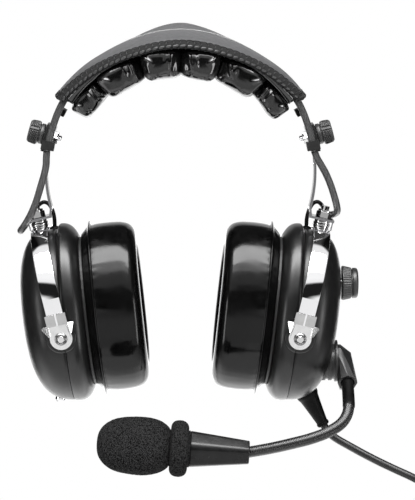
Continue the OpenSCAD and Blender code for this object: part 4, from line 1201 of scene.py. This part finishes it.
def add_backing():
    """The black panel that the pillows are sewn to."""
    high, low, crown_half, narrows = 76.55, 75.85, 35.6, 25.4
    rings = []
    for t in steps(-BACKING_END_A, BACKING_END_A, 110):
        a = math.radians(t)
        half = crown_half - narrows * (abs(t) / BACKING_END_A) ** 1.6
        ring = [arc_place(a, high, half * v) for v in steps(-1, 1, 14)]
        ring += [arc_place(a, low - 0.15 * abs(v) ** 6, half * v) for v in steps(1, -1, 14)]
        rings.append(ring)
    panel = coated(loft("pillow_panel", rings), LINING)
    dress(panel, "headband", "cushion_vinyl", "cushion_backing")


def add_hem():
    """The hem along both sides of the pad's underside, with its piping."""
    end = PAD_END_A - 1.2
    strips = []
    for sign in (-1, 1):
        rings, piping = [], []
        for t in steps(-end, end, 180):
            a = math.radians(t)
            edge = pad_place(t, sign * 0.985, PAD_T)
            high, out = math.hypot(edge.x, edge.z - BAND_Z) + 0.4, abs(edge.y)
            wave = 0.35 * noise_at(t * 0.2, sign, 3)
            low = HEM_LOW + wave
            section = ((high, -0.4), ((high + low) / 2, 0.1 + wave), (low + 0.5, -0.5), (low, -1.3),
                       (low + 0.2, -4), (low + 1.4, -5), (high, -3))
            rings.append([arc_place(a, r, sign * (out + y)) for r, y in section])
            piping.append(arc_place(a, low + 0.4, sign * (out - 0.1)))
        strips += [loft("hem", rings), tube("piping", piping, 0.5, 10)]
    dress(coated(joined("pad_hem", strips), PILLOW_VINYL), "headband", "cushion_vinyl")


def pillow_folds(side, i, rng):
    """Ridges of a pillow's end, each (start across, start height, way, length, half width, height)."""
    length, h = PILLOW_LEN[i], (PILLOW_TOP - PILLOW_LOW[i]) / 2
    folds = []
    for k in range(2):
        way = math.radians(-90 + side * rng.uniform(4, 20))
        folds.append((-side * length * (0.62 - 0.3 * k), h * rng.uniform(0.7, 0.95), way,
                      h * rng.uniform(1.1, 1.5), 1.4 + 0.2 * k, 2.0 - 0.9 * k))
    folds.append((side * length * 0.8, h * 0.8, math.radians(-90 - side * 35), h * 0.8, 0.9, 0.8))
    for k in range(9):
        way = math.radians(90 + rng.uniform(-60, 60))
        folds.append((length * rng.uniform(-0.85, 0.85), -h * rng.uniform(0.88, 1.0), way,
                      rng.uniform(1.8, 4.2), rng.uniform(0.4, 0.7), rng.uniform(0.4, 0.9)))
    return folds


def fold_height(folds, x, z, seed):
    """How far the folds lift the surface at (x, z) of a pillow's end."""
    x += 0.9 * noise_at(x * 0.22, z * 0.22, seed)
    z += 0.9 * noise_at(x * 0.22, z * 0.22, seed + 5)
    lift = 0
    for x0, z0, way, length, width, height in folds:
        at = ((x - x0) * math.cos(way) + (z - z0) * math.sin(way)) / length
        off = (z - z0) * math.cos(way) - (x - x0) * math.sin(way)
        if -0.15 < at < 1.15:
            lift += height * math.sin(math.pi * (at + 0.15) / 1.3) ** 0.8 * bump_at(off, 0, width)
    return lift


def cap_drop(t):
    """How far a domed end has fallen back at t, from 0 in its middle to 1 at its rim."""
    return 1 - (1 - min(abs(t), 1) ** 2.6) ** (1 / 2.6)


def pillow_point(side, i, u, end, k, along, folds, seed):
    """A point of a pillow: u is the angle round its section and k the section's share of the full one.
    end is -1 for the front end, 1 for the back and 0 between them, where along runs from -1 to 1."""
    mid, h = (PILLOW_TOP + PILLOW_LOW[i]) / 2, (PILLOW_TOP - PILLOW_LOW[i]) / 2
    length, half = PILLOW_LEN[i], PILLOW_HALF[i] + PILLOW_END
    c, s = math.cos(u), math.sin(u)
    round_off = (1 - k) ** 1.5
    high_power = 0.32 if s > 0 else 0.5
    wide_power = 0.4 if s > 0 else 0.46
    height = h * (1 - k) * 0.3 + h * k * signed_pow(s, high_power + (1 - high_power) * round_off)
    across = length * k * signed_pow(c, wide_power + (1 - wide_power) * round_off)
    if end:
        share = clamped((k - 0.5) / 0.5)
        share = share * share * (3 - 2 * share)
        apart = 0.6 * (cap_drop(across / length) + cap_drop(height / h))
        y = end * (half - PILLOW_CAP * ((1 - share) * apart + share * cap_drop(k)))
    else:
        y = along * (half - PILLOW_CAP)
    near_end = clamped((abs(y) / half - 0.5) / 0.3)
    y += math.copysign(fold_height(folds, across, height, seed) * near_end, y)
    slow = noise_at(across * 0.07, y * 0.07, height * 0.07 + seed)
    fine = noise_at(across * 0.2 + seed, y * 0.3, height * 0.25)
    gather = math.sin(y * 1.1 + 6 * slow) * abs(c) ** 3 * max(0, 0.35 - s)
    inward = (slow + 0.25 * fine + 0.5 * gather) * min(1, k / 0.7)
    across -= signed_pow(c, 1) * inward * 0.9
    radius = mid + height - signed_pow(s, 1) * inward
    return arc_place(math.radians(side * PILLOW_A[i]) + across / mid, radius, y)


def add_pillows():
    rows = [(-1, k, 0) for k in steps(0.03, 1, 34)]
    rows += [(0, 1, along) for along in steps(-1, 1, 26)[1:-1]]
    rows += [(1, k, 0) for k in steps(1, 0.03, 34)]
    rng = random.Random(11)
    for sign, side in ((-1, "left"), (1, "right")):
        for i, name in enumerate(PILLOW_NAMES):
            seed = 4.7 * i + (9.3 if sign < 0 else 0)
            folds = pillow_folds(sign, i, rng)
            rings = [[pillow_point(sign, i, u, end, k, along, folds, seed) for u in circle(96)]
                     for end, k, along in rows]
            pillow = coated(loft(f"{side}_{name}_pillow", rings), PILLOW_VINYL)
            dress(pillow, "headband", "cushion_vinyl", "head_cushions")
            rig.padded(pillow, 0.75)


# ---- Clamps ----
def knob_shape(a, z):
    """The grip's outline: two slots with a smooth land between them, and slanting ribs round the rest.
    The slots face up and to the front."""
    low, high = 3.3, KNOB_LEN - 0.5
    if z < low or z > high:
        return 1
    above_front = -90 - math.degrees(math.atan2(math.sin(a), math.cos(a)))
    for centre, half, depth in ((33, 5.5, 0.16), (15, 3.6, 0.12)):
        if abs(above_front - centre) < half:
            return 1 - depth
    if 9 < above_front < 41:
        return 1.015
    fade = min(1, (z - low) / 0.8, (high - z) / 0.5)
    return 1 + 0.06 * math.sin(26 * (a + 0.15 * z)) * fade


def add_clamp_knob(side):
    profile = [(0, 0), (5.9, 0), (6.2, 0.3), (6.2, 2.0), (6, 2.4), (5.6, 2.5), (5.6, 3.05), (6.8, 3.1)]
    profile += [(6.85 - 0.5 * f ** 2, 3.3 + (KNOB_LEN - 3.8) * f) for f in steps(0, 1, 24)]
    profile += [(6.2, KNOB_LEN - 0.25), (5.9, KNOB_LEN), (1.5, KNOB_LEN), (0, KNOB_LEN)]
    knob = coated(revolve(side + "_knob", profile, clamp_matrix(side, KNOB_IN), 360, knob_shape), KNOB)
    dress(knob, side + "_clamp", "clamp_plastic", side + "_clamp_knob")


def add_clamp_screw(side):
    """Screw with a real thread on its inner end."""
    low, high, pitch, r = 73.6, KNOB_IN + 6.2, 0.7, 1.98
    profile = [(0, low), (1.5, low)]
    z = low + 0.2
    while z < 79:
        profile += [(1.62, z), (r, z + pitch * 0.4), (r, z + pitch * 0.55)]
        z += pitch
    profile += [(r, 79.4), (r, high), (0, high)]
    screw = coated(revolve(side + "_threaded_screw", profile, clamp_matrix(side), 40), CHROME)
    dress(screw, side + "_clamp", "chrome_steel", side + "_clamp_screw")


# ---- Cable ----
def sleeve_radius(seed):
    """The radius of a sleeve that isn't quite round, as a function for tube."""
    def radius(i, a):
        return 2.1 + 0.05 * noise_at(i * 0.12, 2 * math.cos(a) + seed, 2 * math.sin(a))
    return radius


def cross_radius(a):
    """How far the cable between the cups runs from the straps' centre, at a degrees above level."""
    a = min(a, 180 - a)
    if a < 16:
        return 80.2
    if a < 34:
        return 80.2 + (1 - math.cos(math.radians((a - 16) * 10))) / 2
    if a < 50:
        return 79.6 + 1.6 * (1 + math.cos(math.radians((a - 34) * 11.25))) / 2
    return 79.6


def bend_cable(cable, material, node, body_a, body_b, start, end, matrix):
    """A cable that bends between two bodies, from start to end."""
    coated(cable, material)
    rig.slot(cable, "cable_sleeve")
    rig.replaces(cable, node)
    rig.blend(cable, body_a, body_b, start=(matrix @ Vector(start)) * MM, end=(matrix @ Vector(end)) * MM)


def add_cables():
    rise = 9.6
    points = [arc_place(math.radians(90 - a), cross_radius(a), CABLE_END[1])
              for a in steps(rise, 180 - rise, 240)]
    cable = coated(tube("pad_cable", points, sleeve_radius(1)), SLEEVE)
    dress(cable, "headband", "cable_sleeve", "cross_cable")
    for side, turn_route, lead_route in (("left", LEFT_TURN, LEFT_LEAD), ("right", RIGHT_TURN, RIGHT_LEAD)):
        matrix = side_matrix(side)
        points = even_route(smooth_route(turn_route, 10), 0.9)
        end = len(points) - 1

        def radius(i, a, end=end, plain=sleeve_radius(4)):
            return plain(i, a) * (1 if i < end - 1 else 0.9 if i == end - 1 else 0.7)
        bend_cable(tube(side + "_sleeve_turn", points, radius, 20, matrix), SLEEVE, side + "_cable_turn",
                   "headband", side + "_arm", turn_route[1], turn_route[6], matrix)
        points = even_route(smooth_route(lead_route, 12), 0.5)
        middle = len(points) // 2
        for name, part, body_a, body_b in (("upper", points[:middle + 1], "_arm", "_yoke"),
                                           ("lower", points[middle:], "_yoke", "_cup")):
            bend_cable(tube(f"{side}_lead_{name}", part, 1.2, 18, matrix), RUBBER, side + "_cup_lead",
                       side + body_a, side + body_b, part[0], part[-1], matrix)


# ---- Pivots ----
def add_pivot_studs(side):
    """The stud through each end plate: a rolled ring painted dark, as painted shade, round a bright centre."""
    ring = [(2.2, 0.2), (3.6, 0.2), (3.75, 0.45), (3.7, 0.75), (3.5, 0.9), (3.05, 0.95), (2.95, 1.25),
            (2.6, 1.3), (2.45, 0.95), (2.4, 0.3), (2.3, 0.25)]
    stud = [(0, -9.9), (2, -9.9), (2, 0.6), (1.95, 1.3), (1.92, 1.4), (1.84, 1.48), (1.74, 1.5),
            (1.6, 1.5), (0, 1.5)]
    parts = []
    for way in FRONT_AND_BACK:
        matrix = cup_matrix(side) @ way @ Matrix.Translation((0, 0, PLATE_Y + 1))
        parts.append(coated(revolve("rolled_ring", ring, matrix, 64, wrap=True), RIVET_PAINTED_SHADE))
        parts.append(coated(revolve("stud", stud, matrix, 48), SATIN))
    dress(joined(side + "_studs", parts), side + "_cup", "chrome_steel", side + "_pivot_studs")


# ---- Volume knob ----
def add_volume_knob():
    profile = [(0, 0), (9.9, 0), (10.3, 0.4)] + list(zip(steps(10.3, 9.2, 12), steps(0.6, 5.5, 12)))
    profile += [(9.0, 5.6), (8.5, 5.75), (8.5, 6.2), (9.0, 6.35), (9.15, 6.8), (9.15, 8.2), (8.95, 8.9),
                (8.4, 9.4), (7.4, 9.7), (6.6, 9.7), (6.2, 9.45), (0, 9.45)]

    def teeth(a, z):
        if not 0.5 < z < 5.55:
            return 1
        return 1 + 0.035 * (abs(math.sin(20 * a)) ** 0.7 - 0.6) * min(1, (z - 0.5) / 0.4)
    low, high = VOLUME_Z + 2.2, VOLUME_Z + 5.6
    mark = [[(VOLUME_X + x, y, z) for y, z in ((-0.3, low), (0.3, low), (0.3, high), (-0.3, high))]
            for x in (9.3, 9.62)]
    knob = coated(revolve("volume_grip", profile, along_x(VOLUME_X, VOLUME_Z), 320, teeth), VOLUME)
    knob = joined("volume_grip", [knob, coated(loft("mark", mark), SATIN)])
    dress(knob, "volume", "volume_plastic", "volume_knob")


# ---- Boom ----
def add_gooseneck():
    """A smooth sleeve at the root, then the close ribs of the hose."""
    route = smooth_route(BOOM_ROUTE, 14)
    sleeve_points = even_route(route[:43], 1)
    end = len(sleeve_points) - 1
    rib_points = 6
    groove = 0.34

    def sleeve_r(i, a):
        return NECK_R + (0.35 if i < end - 1 else 0.2 if i == end - 1 else -0.1)

    def rib_r(i, a):
        return NECK_R - groove + groove * math.sin(math.pi * (i % rib_points) / rib_points) ** 0.7
    root = coated(tube("neck_sleeve", sleeve_points, sleeve_r, 28), RUBBER)
    hose = coated(tube("neck_hose", even_route(route[40:], 1 / rib_points), rib_r, 26), NECK)
    dress(joined("ribbed_gooseneck", [root, hose]), "boom", "gooseneck_metal", "gooseneck")


def rounded_outline(corners, cut):
    """A closed outline whose corners are rounded from that far away on both sides."""
    def toward(p, other):
        return p + (other - p).normalized() * min(cut, (other - p).length * 0.45)
    corners = [Vector(corner) for corner in corners]
    points = []
    for before, p, after in zip(corners[-1:] + corners, corners, corners[1:] + corners[:1]):
        a, b = toward(p, before), toward(p, after)
        points += [a * (1 - w) ** 2 + p * (2 * w * (1 - w)) + b * w ** 2 for w in steps(0, 1, 6)]
        points.append((b + toward(after, p)) * 0.5)
    return points


def add_mic_housing():
    """Tapered housing: a slope along its top, a soft shoulder, and a flat front and back."""
    outline = rounded_outline(((-10.2, 3), (-8.4, 7.4), (-2, 8), (6.4, 6.6), (10.1, 2.6), (9.9, 0.6),
                               (4.6, -6.3), (1.4, -7.3), (-8.2, -6.6), (-9.9, -3)), 1.5)
    rings = []
    for z, shrink in ((0, 2.5), (0, 0.5), (-0.15, 0.15), (-0.5, 0), (-8, 0), (-16, 0), (-25, 0),
                      (0.5 - MIC_LEN, 0), (0.15 - MIC_LEN, 0.15), (-MIC_LEN, 0.5), (-MIC_LEN, 2.5)):
        k = 1 + 0.36 * z / MIC_LEN - shrink / 9
        rings.append([(q.x * k, q.y * k, z) for q in outline])
    housing = coated(loft("mic_shell", rings, MIC_FRAME), MIC)
    dress(housing, "boom", "mic_plastic", "mic_housing")


def add_windscreen():
    """Foam ball and its thick rolled mouth, with a deep groove between them."""
    tip, back, neck_z, power = 24, 20, 11.6, 2.5
    mid_z = neck_z + 17
    low_z = neck_z + 0.2
    ball = [(9, low_z)]
    for z in steps(low_z, mid_z, 16):
        ball.append((FOAM_R * (1 - ((mid_z - z) / back) ** power) ** (1 / power), z))
    for a in steps(0, math.pi / 2, 60)[1:]:
        ball.append((FOAM_R * max(math.cos(a), 0) ** (2 / power), mid_z + tip * math.sin(a) ** (2 / power)))
    mouth = [(9.3, 1.0)]
    for a in steps(-math.pi / 2, math.pi / 2, 40):
        mouth.append((11 + 4.9 * signed_pow(math.cos(a), 0.85), 6.2 + 5.1 * signed_pow(math.sin(a), 0.85)))
    mouth.append((9.0, 11.3))
    parts = [revolve("neck", [(9.1, 0.1), (10.3, 0.1), (10.3, 12.6), (9.1, 12.6)], MIC_FRAME, 96)]
    first = [(0.002 * math.cos(a), 0.002 * math.sin(a), low_z) for a in circle(200)]
    for name, profile, rings, shift in (("ball", ball, [first], Vector()),
                                        ("mouth", mouth, [], Vector((5, 0, 0)))):
        for p in even_route([Vector((r, 0, z)) for r, z in profile], 0.55):
            ring = []
            for a in circle(200):
                q = Vector((p.x * math.cos(a), p.x * math.sin(a), p.z))
                rough = 0.13 * noise.noise(q * 0.9 + shift) + 0.3 * noise.noise(q * 0.09)
                grow = 1 + rough / max(p.x, 4)
                ring.append((q.x * grow, q.y * grow, q.z))
            rings.append(ring)
        parts.append(loft(name, rings, MIC_FRAME, wrap=(name == "mouth")))
    screen = coated(joined("foam_windscreen", parts), WINDSCREEN)
    dress(screen, "boom", "windscreen_foam", "windscreen")
    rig.padded(screen, 0.9)


def add_cord_boot():
    profile = [(0, -3), (6.8, -3), (6.8, 2.4), (6.6, 3.2), (6.25, 4.0), (6.0, 4.6)]
    profile += [(6 - 2.5 * f ** 0.9, 4.6 + 16.6 * f) for f in steps(0, 1, 14)[1:]]
    profile += [(3.55, 21.8), (3.85, 22.2), (3.85, 23.2), (3.5, 23.8), (0, 23.8)]
    place = Matrix.Translation(BOOT_PLACE) @ turned("Y", 180 - BOOT_LEAN)
    boot = coated(revolve("cord_strain_relief", profile, place), RUBBER)
    dress(boot, "right_cup", "moulded_rubber", "cord_boot")


# ---- CAD nodes that stay, each with its finish and the width of its rounded edges ----
KEPT_NODES = {
    "head_strap": (CHROME, 0.2), "hanger": (STRAP_STEEL, 0.5), "stirrup": (CHROME, 0.22),
    "clamp_guide": (ZINC, 0.15), "swivel_bolt": (ZINC, 0.2), "stirrup_ends": (PLATES, 0.32),
    "shell_screw": (CHROME, 0.15), "cable_clip": (CLIP, 0.55), "strap_cap": (RUBBER, 0.5),
    "lead_grommet": (RUBBER, 0.2), "seal_plate": (BAFFLE, 0.3), "speaker": (DRIVER, 0.2),
    "volume_control": (SATIN, 0.1), "boom_collar": (BLOCK, 0.2), "boom_block": (BLOCK, 0.35),
    "mic_capsule": (CAPSULE, 0.2),
}


def finish_nodes():
    for name, obj in frame["nodes"].items():
        plain = name.removeprefix("left_").removeprefix("right_")
        if plain not in KEPT_NODES:
            continue
        material, width = KEPT_NODES[plain]
        obj.data.materials.clear()
        coated(obj, material)
        weld = obj.modifiers.new("weld", "WELD")
        weld.merge_threshold = 1e-6
        edge = obj.modifiers.new("edge", "BEVEL")
        edge.width = width * MM
        edge.segments = 2
        edge.limit_method = "ANGLE"
        edge.angle_limit = math.radians(32)


add_camera()
add_world()
add_floor()
for lamp_row in LAMPS:
    softbox(*lamp_row)
add_cords()
for cup_side in SIDES:
    add_shells(cup_side)
    add_ear_cushion(cup_side)
    add_ear_foam(cup_side)
    add_clamp_knob(cup_side)
    add_clamp_screw(cup_side)
    add_pivot_studs(cup_side)
add_pad_cover()
add_pad_binding()
add_crown_highlight()
add_backing()
add_hem()
add_pillows()
add_cables()
add_volume_knob()
add_gooseneck()
add_mic_housing()
add_windscreen()
add_cord_boot()
finish_nodes()

bpy.context.scene.view_settings.view_transform = "Standard"
bpy.context.view_layer.update()
low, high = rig.bounds()
with open("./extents.json", "w") as out:
    json.dump({"cad": [list(cad_low), list(cad_high)], "visual": [list(low), list(high)]}, out)
